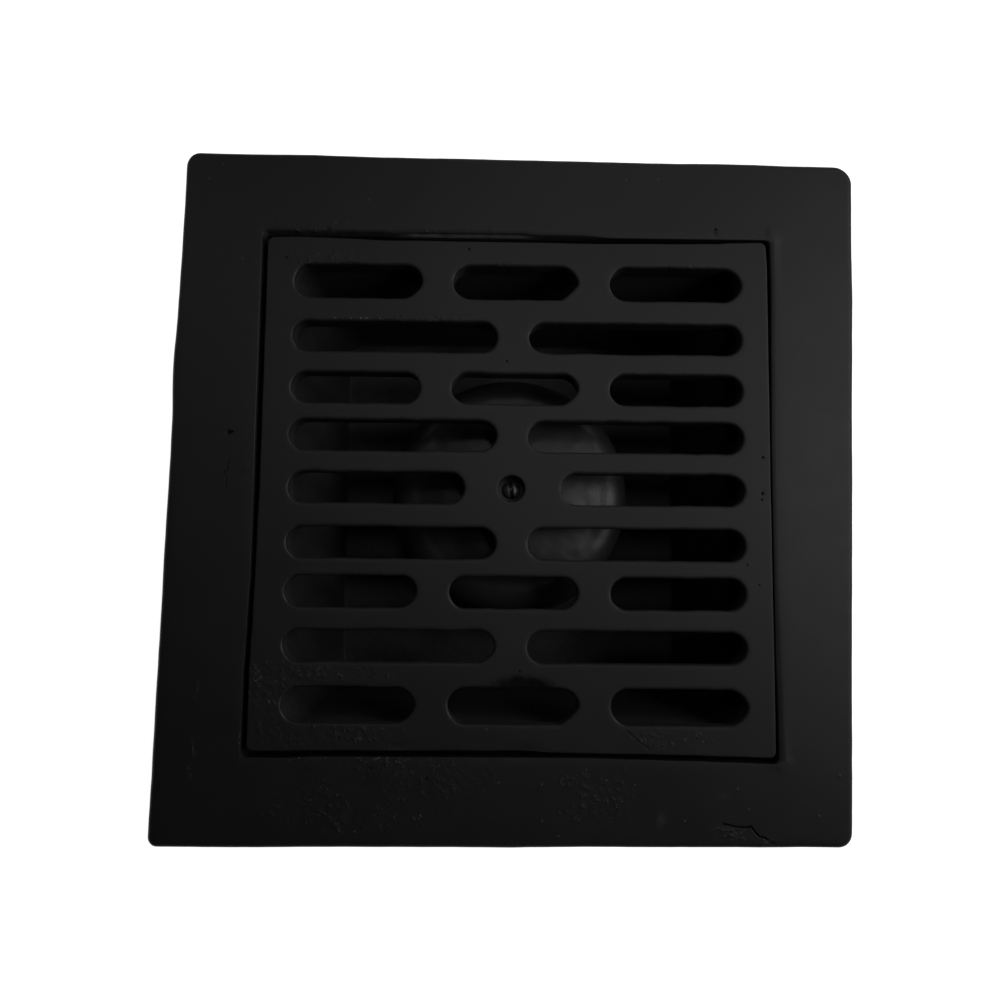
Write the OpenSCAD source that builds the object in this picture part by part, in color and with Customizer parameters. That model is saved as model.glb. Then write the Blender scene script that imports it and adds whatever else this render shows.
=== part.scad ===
// Square cast-iron floor drain. A framed bowl holds a slotted grate in its recess.
// A round bell hangs under the grate on a slotted stud and covers the outlet's standpipe.
// Millimetres, +Z up. The origin is the centre of the outlet spigot's lower end.

/* [Frame] */
// Back left corner of the frame, seen from above; the casting is a little out of square
corner_back_left = [-100.1, 102.3]; // [-110:0.1:110]
// Back right corner of the frame
corner_back_right = [102.7, 100.3]; // [-110:0.1:110]
// Front right corner of the frame
corner_front_right = [97.0, -101.3]; // [-110:0.1:110]
// Front left corner of the frame
corner_front_left = [-102.7, -102.3]; // [-110:0.1:110]
// Corner radii of the frame, in the same order
corner_r = [4.2, 4.8, 3.4, 2.6]; // [2.5:0.1:8]
// Thickness of the frame's flange
flange_t = 7; // [5:0.5:8]
// Rounding of the flange's upper edge
flange_edge_r = 1.8; // [1:0.1:2.4]
// Fall of the flange's face from the recess out to its edge
flange_fall = 0.8; // [0:0.1:1.2]
// Width of the square recess that the grate drops into
recess_w = 153.2; // [152:0.2:156]
// Depth of the recess, down to the ledge
recess_depth = 9; // [8.5:0.5:10]
// Corner radius of the recess
recess_r = 1.6; // [1:0.1:3]

/* [Bowl] */
// Width of the bowl's mouth, inside the ledge
mouth_w = 137; // [135.5:0.5:140]
// Width of the bowl's floor
floor_w = 116; // [110:1:122]
// Depth of the bowl's floor below the frame's face
bowl_depth = 56; // [54:1:70]
// Thickness of the bowl's walls and ledge
wall_t = 4.5; // [4:0.5:6]
// Thickness of the bowl's floor
floor_t = 6; // [5:0.5:8]

/* [Outlet] */
// Bore of the outlet and its standpipe
outlet_bore = 48; // [46:1:49]
// Outside diameter of the outlet spigot
spigot_d = 60.3; // [58:0.1:64]
// Length of the outlet spigot below the bowl
spigot_l = 30; // [20:1:50]
// Outside diameter of the standpipe inside the bowl
standpipe_d = 55; // [53:0.5:57]
// Depth of the standpipe's rim below the frame's face
standpipe_depth = 25; // [23:0.5:35]

/* [Grate] */
// Width of the square grate
grate_w = 151.4; // [148:0.2:152]
// Thickness of the grate
grate_t = 8.5; // [7:0.5:8.5]
// Corner radius of the grate
grate_r = 2; // [1.5:0.1:3]
// Rounding of the grate's upper edge
grate_edge_r = 0.9; // [0.5:0.1:1.2]
// Left end of the slotted field
field_left = -65.8; // [-66.5:0.1:-60]
// Right end of the slotted field
field_right = 67.6; // [60:0.1:68]
// Width of the slots in the first and last row
end_slot_w = 9.9; // [8:0.1:10.5]
// Width of the slots in the other rows
slot_w = 8.9; // [7:0.1:9.5]
// Width of the webs between two slots of a row
web_w = 9.8; // [8:0.1:14]
// Width of the web that carries the boss
boss_web_w = 28.7; // [26:0.1:32]
// Distances of the four rows on either side from the middle row
row_steps = [15.8, 30.0, 45.5, 62.3]; // [15:0.1:63]
// Rounding of the slots' upper edges
slot_lip_r = 1; // [0.5:0.1:1.2]
// How much wider each slot grows on each side towards its underside
slot_draft = 0.5; // [0.2:0.1:0.8]
// Diameter of the boss under the grate's middle
boss_d = 21; // [18:0.5:24]
// Height of the boss below the grate's underside
boss_h = 4; // [3:0.5:5]
// Diameter of the countersink well over the stud
well_d = 7.4; // [6.5:0.1:8.5]
// Depth of the well
well_depth = 5; // [4:0.5:6]

/* [Bell] */
// Diameter of the bell at its shoulder
bell_shoulder_d = 75; // [72:0.5:76]
// Diameter of the bell at its rim
bell_rim_d = 79; // [76:0.5:82]
// Height of the bell
bell_h = 33; // [30:0.5:34]
// Thickness of the bell's wall
bell_t = 3.5; // [3:0.5:4]
// Radius of the shoulder
bell_shoulder_r = 9; // [6:0.5:12]
// Fall of the crown from its middle to the shoulder
bell_crown_fall = 2.4; // [1:0.1:4]
// Place of the bell and its stud off the grate's middle, as cast
bell_offset = [-0.5, 0.3]; // [-1.5:0.1:1.5]

/* [Stud] */
// Diameter of the slotted stud
stud_d = 5; // [4:0.5:5]
// Depth of the stud's domed end below the grate's face
stud_depth = 3.4; // [2:0.2:4]
// Width of the screwdriver slot
driver_slot_w = 1.1; // [0.6:0.1:1.2]
// Width of the nut across its flats
nut_flats = 8; // [7:0.5:9]
// Height of the nut
nut_h = 4; // [3:0.5:5]

/* [Hidden] */
$fn = 72;
iron = [0.13, 0.13, 0.14];
bare_iron = [0.17, 0.17, 0.18];
steel = [0.55, 0.55, 0.56];

floor_z = spigot_l + floor_t;
top_z = floor_z + bowl_depth;
ledge_z = top_z - recess_depth;
grate_top_z = ledge_z + grate_t;
boss_z = ledge_z - boss_h;
standpipe_z = top_z - standpipe_depth;
bell_rim_z = boss_z - bell_h;
housing_w = recess_w + 2 * wall_t;
thread_gap = 0.05;
hull_fn = 32;

corners = [corner_back_left, corner_back_right, corner_front_right, corner_front_left];

// Each row: distance from the middle, slot width, centres of its webs, width of its webs
thirds = [-23.1, 23.7];
halves = [-0.4];
rows = [
    [row_steps[3], end_slot_w, thirds, web_w],
    [row_steps[2], slot_w, halves, web_w],
    [row_steps[1], slot_w, thirds, web_w],
    [row_steps[0], slot_w, halves, web_w],
    [0.3, slot_w, [-0.15], boss_web_w],
    [-row_steps[0], slot_w, halves, web_w],
    [-row_steps[1], slot_w, thirds, web_w],
    [-row_steps[2], slot_w, halves, web_w],
    [-row_steps[3], end_slot_w, thirds, web_w]
];

// Points of a quarter circle from angle a0 to a1
function arc(cx, cy, r, a0, a1, n = 6) =
    [for (i = [0 : n]) [cx + r * cos(a0 + (a1 - a0) * i / n), cy + r * sin(a0 + (a1 - a0) * i / n)]];

// Ends of the slots of one row, as pairs of left and right end
function slot_ends(webs, w) = [
    for (i = [0 : len(webs)]) [
        i == 0 ? field_left : webs[i - 1] + w / 2,
        i == len(webs) ? field_right : webs[i] - w / 2
    ]
];

// A disc whose upper edge is rounded, used to round a plate's corners
module rounded_pad(r, h, edge_r) {
    rotate_extrude($fn = hull_fn)
        polygon(concat([[0, 0], [r, 0]], arc(r - edge_r, h - edge_r, edge_r, 0, 90, 5), [[0, h]]));
}

module rounded_square(w, r) {
    square([w, w - 2 * r], center = true);
    square([w - 2 * r, w], center = true);
    for (x = [-1, 1], y = [-1, 1])
        translate([x * (w / 2 - r), y * (w / 2 - r)]) circle(r = r);
}

// Flange with the outline that the casting really has; its face falls a little outwards
module flange() {
    hull() {
        for (i = [0 : 3]) {
            p = corners[i];
            r = corner_r[i];
            translate([p[0] - sign(p[0]) * r, p[1] - sign(p[1]) * r, top_z - flange_t])
                rounded_pad(r, flange_t - flange_fall, flange_edge_r);
        }
        translate([0, 0, top_z - 1])
            linear_extrude(height = 1)
                rounded_square(recess_w + 3, recess_r + 1.5);
    }
}

// A tapered square tub with a rounded floor
module tub(top_w, bottom_w, top, bottom, r) {
    hull()
        for (x = [-1, 1], y = [-1, 1]) {
            translate([x * (top_w / 2 - r), y * (top_w / 2 - r), top - 1])
                cylinder(r = r, h = 1, $fn = hull_fn);
            translate([x * (bottom_w / 2 - r), y * (bottom_w / 2 - r), bottom + r])
                sphere(r = r, $fn = hull_fn);
        }
}

module spigot() {
    lead = 2;
    r = spigot_d / 2;
    rotate_extrude()
        polygon([
            [0, 0], [r - lead, 0], [r, lead], [r, spigot_l - 5],
            [r + 1.5, spigot_l - 1.5], [r + 5, spigot_l], [r + 5, floor_z - 1], [0, floor_z - 1]
        ]);
}

module standpipe() {
    r = standpipe_d / 2;
    rotate_extrude()
        polygon(concat(
            [[0, floor_z - 1], [r + 4, floor_z - 1], [r + 4, floor_z], [r + 1.2, floor_z + 1.2], [r, floor_z + 4]],
            arc(r - 1.5, standpipe_z - 1.5, 1.5, 0, 90, 4),
            [[0, standpipe_z]]
        ));
}

module drain_body() {
    color(iron)
        difference() {
            union() {
                difference() {
                    union() {
                        flange();
                        translate([0, 0, ledge_z - wall_t])
                            linear_extrude(height = top_z - flange_t + 1 - ledge_z + wall_t)
                                rounded_square(housing_w, 5);
                        tub(mouth_w + 2 * wall_t, floor_w + 2 * wall_t, ledge_z - 1, spigot_l, 9);
                        spigot();
                    }
                    translate([0, 0, ledge_z])
                        linear_extrude(height = recess_depth + 1)
                            rounded_square(recess_w, recess_r);
                    tub(mouth_w, floor_w, ledge_z + 1, floor_z, 5);
                }
                standpipe();
            }
            translate([0, 0, -1])
                cylinder(d = outlet_bore, h = top_z);
        }
}

// Half section of a slot: rounded lip above, sides that open out downwards
function slot_half(w) = concat(
    [[0, 1], [w / 2 + slot_lip_r, 1]],
    [for (a = [90 : -22.5 : 0]) [
        w / 2 + slot_lip_r - slot_lip_r * cos(90 - a), -slot_lip_r + slot_lip_r * sin(a)
    ]],
    [[w / 2 + slot_draft, -grate_t - 1], [0, -grate_t - 1]]
);

// Cutter for one slot with round ends between x0 and x1
module slot(x0, x1, y, w) {
    half = slot_half(w);
    far_side = [for (i = [len(half) - 1 : -1 : 0]) [-half[i][0], half[i][1]]];
    for (x = [x0 + w / 2, x1 - w / 2])
        translate([x, y, 0])
            rotate_extrude() polygon(half);
    translate([x0 + w / 2, y, 0])
        rotate([90, 0, 90])
            linear_extrude(height = x1 - x0 - w)
                polygon(concat(half, far_side));
}

module grate() {
    pad_x = grate_w / 2 - grate_r;
    color(iron)
        difference() {
            union() {
                hull()
                    for (x = [-1, 1], y = [-1, 1])
                        translate([x * pad_x, y * pad_x, ledge_z])
                            rounded_pad(grate_r, grate_t, grate_edge_r);
                translate([bell_offset[0], bell_offset[1], boss_z])
                    cylinder(d1 = boss_d - 2, d2 = boss_d, h = boss_h + 1);
            }
            translate([0, 0, grate_top_z])
                for (row = rows)
                    for (ends = slot_ends(row[2], row[3]))
                        slot(ends[0], ends[1], row[0], row[1]);
            translate([bell_offset[0], bell_offset[1], 0]) {
                translate([0, 0, grate_top_z - well_depth])
                    cylinder(d = well_d, h = well_depth + 1);
                translate([0, 0, boss_z - 1])
                    cylinder(r = stud_d / 2 + thread_gap, h = top_z - boss_z);
            }
        }
}

// Outer half section of the bell, from the middle of its crown to its rim
function bell_outer() = let (
    r = bell_shoulder_d / 2 - bell_shoulder_r,
    z = boss_z - bell_crown_fall - bell_shoulder_r
) concat(
    [[0, boss_z], [7, boss_z]],
    [for (t = [0.25 : 0.25 : 0.75]) [7 + (r - 7) * t, boss_z - bell_crown_fall * t * t]],
    arc(r, z, bell_shoulder_r, 90, 0, 8),
    [[bell_rim_d / 2 - 1, bell_rim_z + 5], [bell_rim_d / 2, bell_rim_z + 3]],
    [[bell_rim_d / 2, bell_rim_z + 1], [bell_rim_d / 2 - 1, bell_rim_z]]
);

// Inner half section, from the rim back to the middle
function bell_inner() = let (
    r = bell_shoulder_d / 2 - bell_shoulder_r,
    z = boss_z - bell_crown_fall - bell_shoulder_r,
    inner_r = bell_shoulder_r - bell_t
) concat(
    [[bell_rim_d / 2 - bell_t, bell_rim_z]],
    arc(r, z, inner_r, 0, 90, 8),
    [[9, boss_z - bell_t - 0.8], [9, boss_z - bell_t - 1.5], [0, boss_z - bell_t - 1.5]]
);

module trap_bell() {
    color(bare_iron)
        translate([bell_offset[0], bell_offset[1], 0])
            difference() {
                rotate_extrude(convexity = 4) polygon(concat(bell_outer(), bell_inner()));
                translate([0, 0, bell_rim_z])
                    cylinder(r = stud_d / 2 + 0.25, h = bell_h + 1);
            }
}

module bell_stud() {
    tip_z = grate_top_z - stud_depth;
    nut_z = boss_z - bell_t - 1.5 - nut_h;
    r = stud_d / 2;
    dome = 1.3;
    color(steel)
        translate([bell_offset[0], bell_offset[1], 0])
            difference() {
                rotate_extrude()
                    polygon([
                        [0, nut_z - 3], [r - 0.8, nut_z - 3], [r, nut_z - 2.2], [r, tip_z - dome],
                        [r - 0.3, tip_z - dome / 2], [r - 0.9, tip_z - dome / 6], [0, tip_z]
                    ]);
                translate([0, 0, tip_z])
                    rotate([0, 0, 98])
                        cube([stud_d + 1, driver_slot_w, 2 * 1.2 + dome], center = true);
            }
}

module bell_nut() {
    nut_z = boss_z - bell_t - 1.5 - nut_h;
    flats_r = nut_flats / 2;
    corner = flats_r / cos(30);
    color(steel)
        translate([bell_offset[0], bell_offset[1], nut_z])
            difference() {
                intersection() {
                    cylinder(r = corner, h = nut_h, $fn = 6);
                    rotate_extrude()
                        polygon([
                            [0, 0], [flats_r, 0], [corner + 0.3, 0.6], [corner + 0.3, nut_h - 0.6],
                            [flats_r, nut_h], [0, nut_h]
                        ]);
                }
                translate([0, 0, -1])
                    cylinder(r = stud_d / 2 + thread_gap, h = nut_h + 2);
            }
}

drain_body();
grate();
trap_bell();
bell_stud();
bell_nut();
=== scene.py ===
"""Looks of the square cast-iron floor drain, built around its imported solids.

The frame with its bowl, the slotted grate, the trap bell, its stud and its nut are each built
here as one fine mesh, with the unevenness of a sand casting under thick black paint.
Lengths are in millimetres until a mesh is made. +Z is up and the origin is the outlet's lower end.
"""

import math

import bmesh
import bpy
import numpy as np
from mathutils import Matrix, Vector, noise
from mathutils.geometry import delaunay_2d_cdt


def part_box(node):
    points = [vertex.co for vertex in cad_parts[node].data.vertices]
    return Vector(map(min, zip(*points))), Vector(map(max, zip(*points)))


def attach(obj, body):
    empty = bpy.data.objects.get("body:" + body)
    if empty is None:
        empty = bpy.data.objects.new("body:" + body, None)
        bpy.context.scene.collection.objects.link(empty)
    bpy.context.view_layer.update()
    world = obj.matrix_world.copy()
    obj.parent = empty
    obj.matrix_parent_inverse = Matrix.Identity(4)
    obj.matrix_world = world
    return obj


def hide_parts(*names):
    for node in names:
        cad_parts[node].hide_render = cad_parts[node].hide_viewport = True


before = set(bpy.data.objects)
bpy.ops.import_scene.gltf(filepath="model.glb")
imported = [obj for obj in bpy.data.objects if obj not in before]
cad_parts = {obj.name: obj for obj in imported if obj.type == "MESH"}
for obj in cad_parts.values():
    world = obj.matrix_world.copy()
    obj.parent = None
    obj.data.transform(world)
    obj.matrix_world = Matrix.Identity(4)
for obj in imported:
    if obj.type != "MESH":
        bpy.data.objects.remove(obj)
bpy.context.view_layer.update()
MM = 0.001

# Camera, solved from the frame's corners and the grate's slots in the photograph
CAMERA_AT = (-6.1, -26.0, 338.6)
CAMERA_AIM = (-3.85, -3.14, 92.0)
CAMERA_ROLL_DEG = 0.54
FOCAL_PX = 850.0
IMAGE_PX = 1000.0
SENSOR_MM = 36.0


def add_camera():
    data = bpy.data.cameras.new("camera")
    data.sensor_width = SENSOR_MM
    data.lens = SENSOR_MM * FOCAL_PX / IMAGE_PX
    data.clip_start = 0.01
    cam = bpy.data.objects.new("camera", data)
    bpy.context.scene.collection.objects.link(cam)
    forward = (Vector(CAMERA_AIM) - Vector(CAMERA_AT)).normalized()
    right = forward.cross(Vector((0, 1, 0))).normalized()
    up = right.cross(forward)
    roll = math.radians(CAMERA_ROLL_DEG)
    rolled_right = right * math.cos(roll) + up * math.sin(roll)
    rolled_up = up * math.cos(roll) - right * math.sin(roll)
    turn = Matrix((rolled_right, rolled_up, -forward)).transposed()
    cam.matrix_world = Matrix.Translation(Vector(CAMERA_AT) * MM) @ turn.to_4x4()
    bpy.context.scene.camera = cam


add_camera()

# Sizes and places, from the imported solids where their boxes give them


def node_box(name):
    low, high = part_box(name)
    return [c / MM for c in low], [c / MM for c in high]


body_high = node_box("drain_body")[1]
grate_low, grate_high = node_box("grate")
bell_low, bell_high = node_box("trap_bell")
stud_low, stud_high = node_box("bell_stud")
nut_low, nut_high = node_box("bell_nut")

TOP_Z = body_high[2]
GRATE_Z = grate_high[2]
BOSS_Z = grate_low[2]
GRATE_HALF = grate_high[0]
BELL_AT = ((stud_low[0] + stud_high[0]) / 2, (stud_low[1] + stud_high[1]) / 2)
STUD_R = (stud_high[0] - stud_low[0]) / 2
BELL_RIM_Z = bell_low[2]
BELL_RIM_R = (bell_high[0] - bell_low[0]) / 2
FLANGE_HALF = body_high[1]

RECESS_DEPTH = 9.0
LEDGE_Z = TOP_Z - RECESS_DEPTH
FLANGE_T = 7.0
RECESS_HALF = 76.6
RECESS_R = 1.6
MOUTH_HALF = 68.5
FLOOR_HALF = 58.0
FLOOR_Z = 36.0
FLOOR_FILLET = 1.2
BOWL_R = 6.0
SPIGOT_L = 30.0
WALL_T = 4.5
BORE_R = 24.0
SPIGOT_R = 30.15
STANDPIPE_R = 27.5
STANDPIPE_Z = TOP_Z - 25.0
FLANGE_CORNERS = [(-102.5, -102.1), (97.4, -101.3), (102.6, 100.35), (-100.1, 102.15)]
FLANGE_RADII = [2.6, 4.2, 5.6, 4.2]
FLANGE_EDGE_R = 1.5
FLANGE_FALL = 0.8
RIM_W = 2.6
RIM_BELOW = 3.2
FALL_FROM = RECESS_HALF + 2.3

GRATE_R = 2.0
GRATE_EDGE_R = 0.6
FIELD_LEFT = -65.8
FIELD_RIGHT = 67.6
END_SLOT_W = 9.9
SLOT_W = 8.9
WEB_W = 9.8
BOSS_WEB_W = 28.7
ROW_STEPS = (15.8, 30.0, 45.5, 62.3)
MIDDLE_ROW_Y = 0.3
THIRDS = (-23.1, 23.7)
HALVES = (-0.4,)
BOSS_WEB = (-0.15,)
LIP_R = 1.0
WORN_LIP_R = 0.7
SLOT_DRAFT = 0.5
BOSS_R = 10.5
WELL_R = 3.7
WELL_DEPTH = 5.0

SIDE_STEPS = 132
CORNER_STEPS = 8

# How far the cast edges stray outwards from straight, by side: place along the side and offset
RECESS_STRAY = {
    "left": [(-77, 0.2), (-54, 0.2), (-48, -0.1), (-40, -0.35), (-31, -0.6), (-26, -0.9), (77, -0.9)],
    "right": [(-77, -0.2), (-64, -0.3), (-45, -0.6), (10, -0.6), (40, -0.15), (60, 0.2), (77, 0.1)],
    "front": [(-77, 0.5), (-64, 0.5), (-57, 0.1), (-40, 0.0), (21, -0.1), (35, 0.2), (50, 0.5), (61, 0.8),
              (77, 1.2)],
    "back": [(-77, 0.1), (-42, 0.1), (-32, -0.4), (77, -0.4)],
}
GRATE_STRAY = {
    "left": [(-76, -0.15), (-54, -0.2), (-45, -0.4), (-37, -0.7), (-26, -0.9), (-14, -1.1), (0, -1.3),
             (76, -1.3)],
    "right": [(-76, 0.2), (0, 0.25), (66, 0.35), (76, 0.0)],
    "front": [(-76, -0.2), (-42, -0.5), (4, -0.65), (10, -0.3), (21, -0.1), (35, 0.0), (50, 0.2), (61, 0.5),
              (76, 0.8)],
    "back": [(-76, 0.0), (-66, 0.3), (-58, 0.2), (-50, -0.05), (-40, -0.5), (0, -0.6), (25, -0.75),
             (45, -0.55), (60, -0.35), (66, 0.0), (76, 0.2)],
}

# Swells of the frame's outline: place, reach and height
SWELLS = [
    (-100.7, 36.0, 16.0, 0.42), (-80.0, -102.1, 34.0, 0.28), (101.6, 62.0, 16.0, 0.22),
    (100.0, 8.0, 22.0, 0.18), (66.0, 100.8, 22.0, 0.22), (-62.0, 101.9, 16.0, 0.15),
    (-101.0, 38.0, 36.0, 0.30), (101.3, 45.0, 40.0, 0.18),
]


def smooth(t):
    t = min(max(t, 0.0), 1.0)
    return t * t * (3 - 2 * t)


def wave(x, y, z, size, seed):
    """Noise from -1 to 1 with features of about this size."""
    return noise.noise(Vector((x / size + 7.3 * seed, y / size - 3.1 * seed, z / size + 11.7 * seed)))


def along(places, at):
    """The offset that a list of places and offsets gives at a place."""
    for (a, low), (b, high) in zip(places, places[1:]):
        if at <= b:
            return low + (high - low) * smooth((at - a) / (b - a))
    return places[-1][1]


def off_centre(x, y, cx, cy, hx, hy):
    """0 at the centre of an ellipse of these half widths, 1 on its outline."""
    return math.hypot((x - cx) / hx, (y - cy) / hy)


# Loops: closed, anticlockwise seen from above, all with the same number of points


def rounded_loop(centres, radii):
    """Outline round four discs, the same shape as a hull over them."""
    normals = []
    for k in range(4):
        a, b = Vector(centres[k]), Vector(centres[(k + 1) % 4])
        side = (b - a).normalized()
        lean = (radii[k] - radii[(k + 1) % 4]) / (b - a).length
        outward = Vector((side.y, -side.x))
        normals.append(outward * math.sqrt(1 - lean * lean) + side * lean)
    points = []
    for k in range(4):
        before, after = normals[k - 1], normals[k]
        start = math.atan2(before.y, before.x)
        turn = (math.atan2(after.y, after.x) - start) % math.tau
        c, r = Vector(centres[k]), radii[k]
        for i in range(CORNER_STEPS):
            angle = start + turn * i / CORNER_STEPS
            points.append(c + Vector((math.cos(angle), math.sin(angle))) * r)
        first = c + after * r
        last = Vector(centres[(k + 1) % 4]) + after * radii[(k + 1) % 4]
        points += [first.lerp(last, i / SIDE_STEPS) for i in range(SIDE_STEPS)]
    return [(p.x, p.y) for p in points]


def square_loop(half, r):
    c = half - r
    return rounded_loop([(-c, -c), (c, -c), (c, c), (-c, c)], [r] * 4)


def flange_loop(inset, rounder=0.0):
    """The frame's outline, moved in, with corners as much rounder as given."""
    radii = [r + rounder for r in FLANGE_RADII]
    centres = []
    for (x, y), r in zip(FLANGE_CORNERS, radii):
        centres.append((x - math.copysign(r, x), y - math.copysign(r, y)))
    return rounded_loop(centres, [r - inset for r in radii])


def strayed(loop, half, stray):
    """Moves a square loop's sides out and in, as their cast edges do."""
    moved = []
    for x, y in loop:
        right = along(stray["right"], y) * smooth((x - half) / 2 + 1.5)
        left = along(stray["left"], y) * smooth((-x - half) / 2 + 1.5)
        back = along(stray["back"], x) * smooth((y - half) / 2 + 1.5)
        front = along(stray["front"], x) * smooth((-y - half) / 2 + 1.5)
        moved.append((x + right - left, y + back - front))
    return moved


def disc_loop(r):
    """A circle round the outlet whose points face those of the square loops."""
    loop = []
    for x, y in square_loop(10, 3):
        d = math.hypot(x, y)
        loop.append((x / d * r, y / d * r))
    return loop


def circle_loop(r, steps):
    """A circle round the bell's and the stud's axis."""
    angles = [math.tau * i / steps for i in range(steps)]
    return [(BELL_AT[0] + r * math.cos(angle), BELL_AT[1] + r * math.sin(angle)) for angle in angles]


def drop_loose_points(data):
    """Deletes the points that no face has used, which a cap's filling can leave."""
    form = bmesh.new()
    form.from_mesh(data)
    loose = [point for point in form.verts if not point.link_faces]
    bmesh.ops.delete(form, geom=loose, context="VERTS")
    form.to_mesh(data)
    form.free()


class Shell:
    """Points and faces of one piece, and how much each point lies on an edge."""

    def __init__(self):
        self.points, self.faces, self.edge = [], [], []
        self.last = None

    def add(self, points, edge):
        first = len(self.points)
        self.points += points
        self.edge += [edge] * len(points)
        self.last = list(range(first, len(self.points)))
        return self.last

    def ring(self, loop, z, edge=0.0):
        return self.add([(x, y, z) for x, y in loop], edge)

    def to(self, loop, z, edge=0.0, steps=1):
        """Carries the surface from the last ring on to this one."""
        start = [self.points[i] for i in self.last]
        start_edge = self.edge[self.last[0]]
        for s in range(1, steps + 1):
            t = s / steps
            between = [(p[0] + (x - p[0]) * t, p[1] + (y - p[1]) * t) for p, (x, y) in zip(start, loop)]
            below = self.last
            self.ring(between, start[0][2] + (z - start[0][2]) * t, start_edge + (edge - start_edge) * t)
            self.bridge(below, self.last)
        return self.last

    def lift(self, ring_points, edge=0.0):
        """Carries the surface on to a ring whose points have heights of their own."""
        below = self.last
        self.bridge(below, self.add(ring_points, edge))

    def sweep(self, loop, section):
        """Carries the surface on through loops of these sizes: size, height, edge and steps of each."""
        for size, z, *rest in section:
            self.to(loop(size), z, *rest)
        return self.last

    def bridge(self, a, b):
        for i in range(len(a)):
            j = (i + 1) % len(a)
            self.faces.append((a[i], b[i], b[j], a[j]))

    def cap(self, outer, holes, inner_points, z, up=True):
        """Fills between an outer ring and the rings of its holes with triangles."""
        index = [i for r in [outer, *holes] for i in r]
        flat = [Vector(self.points[i][:2]) for i in index]
        for x, y in inner_points:
            index.append(len(self.points))
            flat.append(Vector((x, y)))
            self.points.append((x, y, z))
            self.edge.append(0.0)
        areas, first = [], 0
        for r in [outer, *holes]:
            areas.append(list(range(first, first + len(r))))
            first += len(r)
        _, _, triangles, sources, _, inside = delaunay_2d_cdt(flat, [], areas, 1, 1e-7, True)
        for triangle, areas_over in zip(triangles, inside):
            if list(areas_over) == [0]:
                corners = [index[sources[v][0]] for v in triangle]
                self.faces.append(corners if up else corners[::-1])

    def mesh(self, name, shift, stains_and_painted_light=None):
        """The Blender object, each point moved along its normal by shift(x, y, z, normal, edge)."""
        data = bpy.data.meshes.new(name)
        data.from_pydata(self.points, [], self.faces)
        data.validate()
        normals = np.zeros(len(data.vertices) * 3, np.float32)
        data.vertex_normals.foreach_get("vector", normals)
        normals = normals.reshape(-1, 3)
        moved = np.empty((len(self.points), 3), np.float32)
        for i, (p, e) in enumerate(zip(self.points, self.edge)):
            n = normals[i]
            d = shift(p[0], p[1], p[2], n, e)
            if isinstance(d, tuple):
                moved[i] = (p[0] + d[0], p[1] + d[1], p[2] + d[2])
            else:
                moved[i] = (p[0] + n[0] * d, p[1] + n[1] * d, p[2] + n[2] * d)
        data.vertices.foreach_set("co", (moved * MM).ravel())
        shades = [stains_and_painted_light(*p) if stains_and_painted_light else 0.0 for p in self.points]
        for kind, values in (("edge", self.edge), ("stains_and_painted_light", shades)):
            layer = data.attributes.new(kind, "FLOAT", "POINT")
            layer.data.foreach_set("value", np.array(values, np.float32))
        drop_loose_points(data)
        data.update()
        data.shade_smooth()
        obj = bpy.data.objects.new(name, data)
        bpy.context.scene.collection.objects.link(obj)
        return obj


def lattice(half, spacing, allowed):
    """Points of a triangular grid over a square, where allowed."""
    points = []
    step_y = spacing * math.sqrt(0.75)
    for j in range(int(2 * half / step_y) + 1):
        for i in range(int(2 * half / spacing) + 1):
            x = -half + (i + 0.5 * (j % 2)) * spacing
            y = -half + j * step_y
            x += 0.15 * spacing * wave(x, y, 0, 0.7, 5)
            y += 0.15 * spacing * wave(x, y, 0, 0.7, 6)
            if allowed(x, y, 0.62 * spacing):
                points.append((x, y))
    return points


# Pits in the upper faces, each as x, y, radius and depth
PITS = [
    (-83.5, 16.0, 1.0, 0.8), (-82.6, 16.2, 0.6, 0.5), (-55.5, 77.7, 0.4, 0.35), (-13.9, 72.5, 0.45, 0.5),
    (-2.2, 38.3, 0.45, 0.35), (60.3, 79.5, 0.5, 0.45), (53.3, 77.8, 0.5, 0.35), (84.7, 98.2, 0.4, 0.4),
    (-68.5, 69.2, 0.5, 0.25), (73.4, 10.3, 0.5, 0.45), (73.1, -0.4, 0.6, 0.5), (72.9, -2.2, 0.4, 0.4),
    (62.7, -4.8, 0.45, 0.35), (68.4, -21.3, 0.4, 0.2), (71.7, -27.1, 0.4, 0.25), (-8.5, 78.4, 0.5, 0.5),
    (-39.7, -79.8, 0.5, 0.3), (-24.0, -82.6, 0.6, 0.3), (28.0, 62.0, 0.35, 0.2), (-49.1, -71.3, 0.45, 0.3),
    (-46.6, -72.4, 0.35, 0.3), (2.2, -52.5, 0.5, 0.3),
]

# Nibs of paint that stand up, each as x and y
NIBS = [
    (-88.6, 98.2), (-44.2, 87.4), (-81.5, 68.6), (-92.6, 93.6), (33.3, 94.8), (43.0, 95.2), (93.7, -81.0),
    (8.8, -94.0), (13.4, -98.2), (-48.4, -97.0), (-44.1, -97.4), (8.7, -83.9), (64.3, -84.8), (67.4, -90.4),
    (87.5, -92.2), (37.1, -71.8), (54.7, -71.9), (-3.5, -83.5), (35.0, -83.8), (26.9, -82.7), (21.2, -79.8),
    (-49.7, -53.7), (-36.5, -68.9), (-6.9, -68.9), (-90.3, -75.0), (49.2, -93.8), (31.3, -88.6),
    (45.8, -72.4), (49.5, -71.3),
]
NIB_R = 0.45

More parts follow.
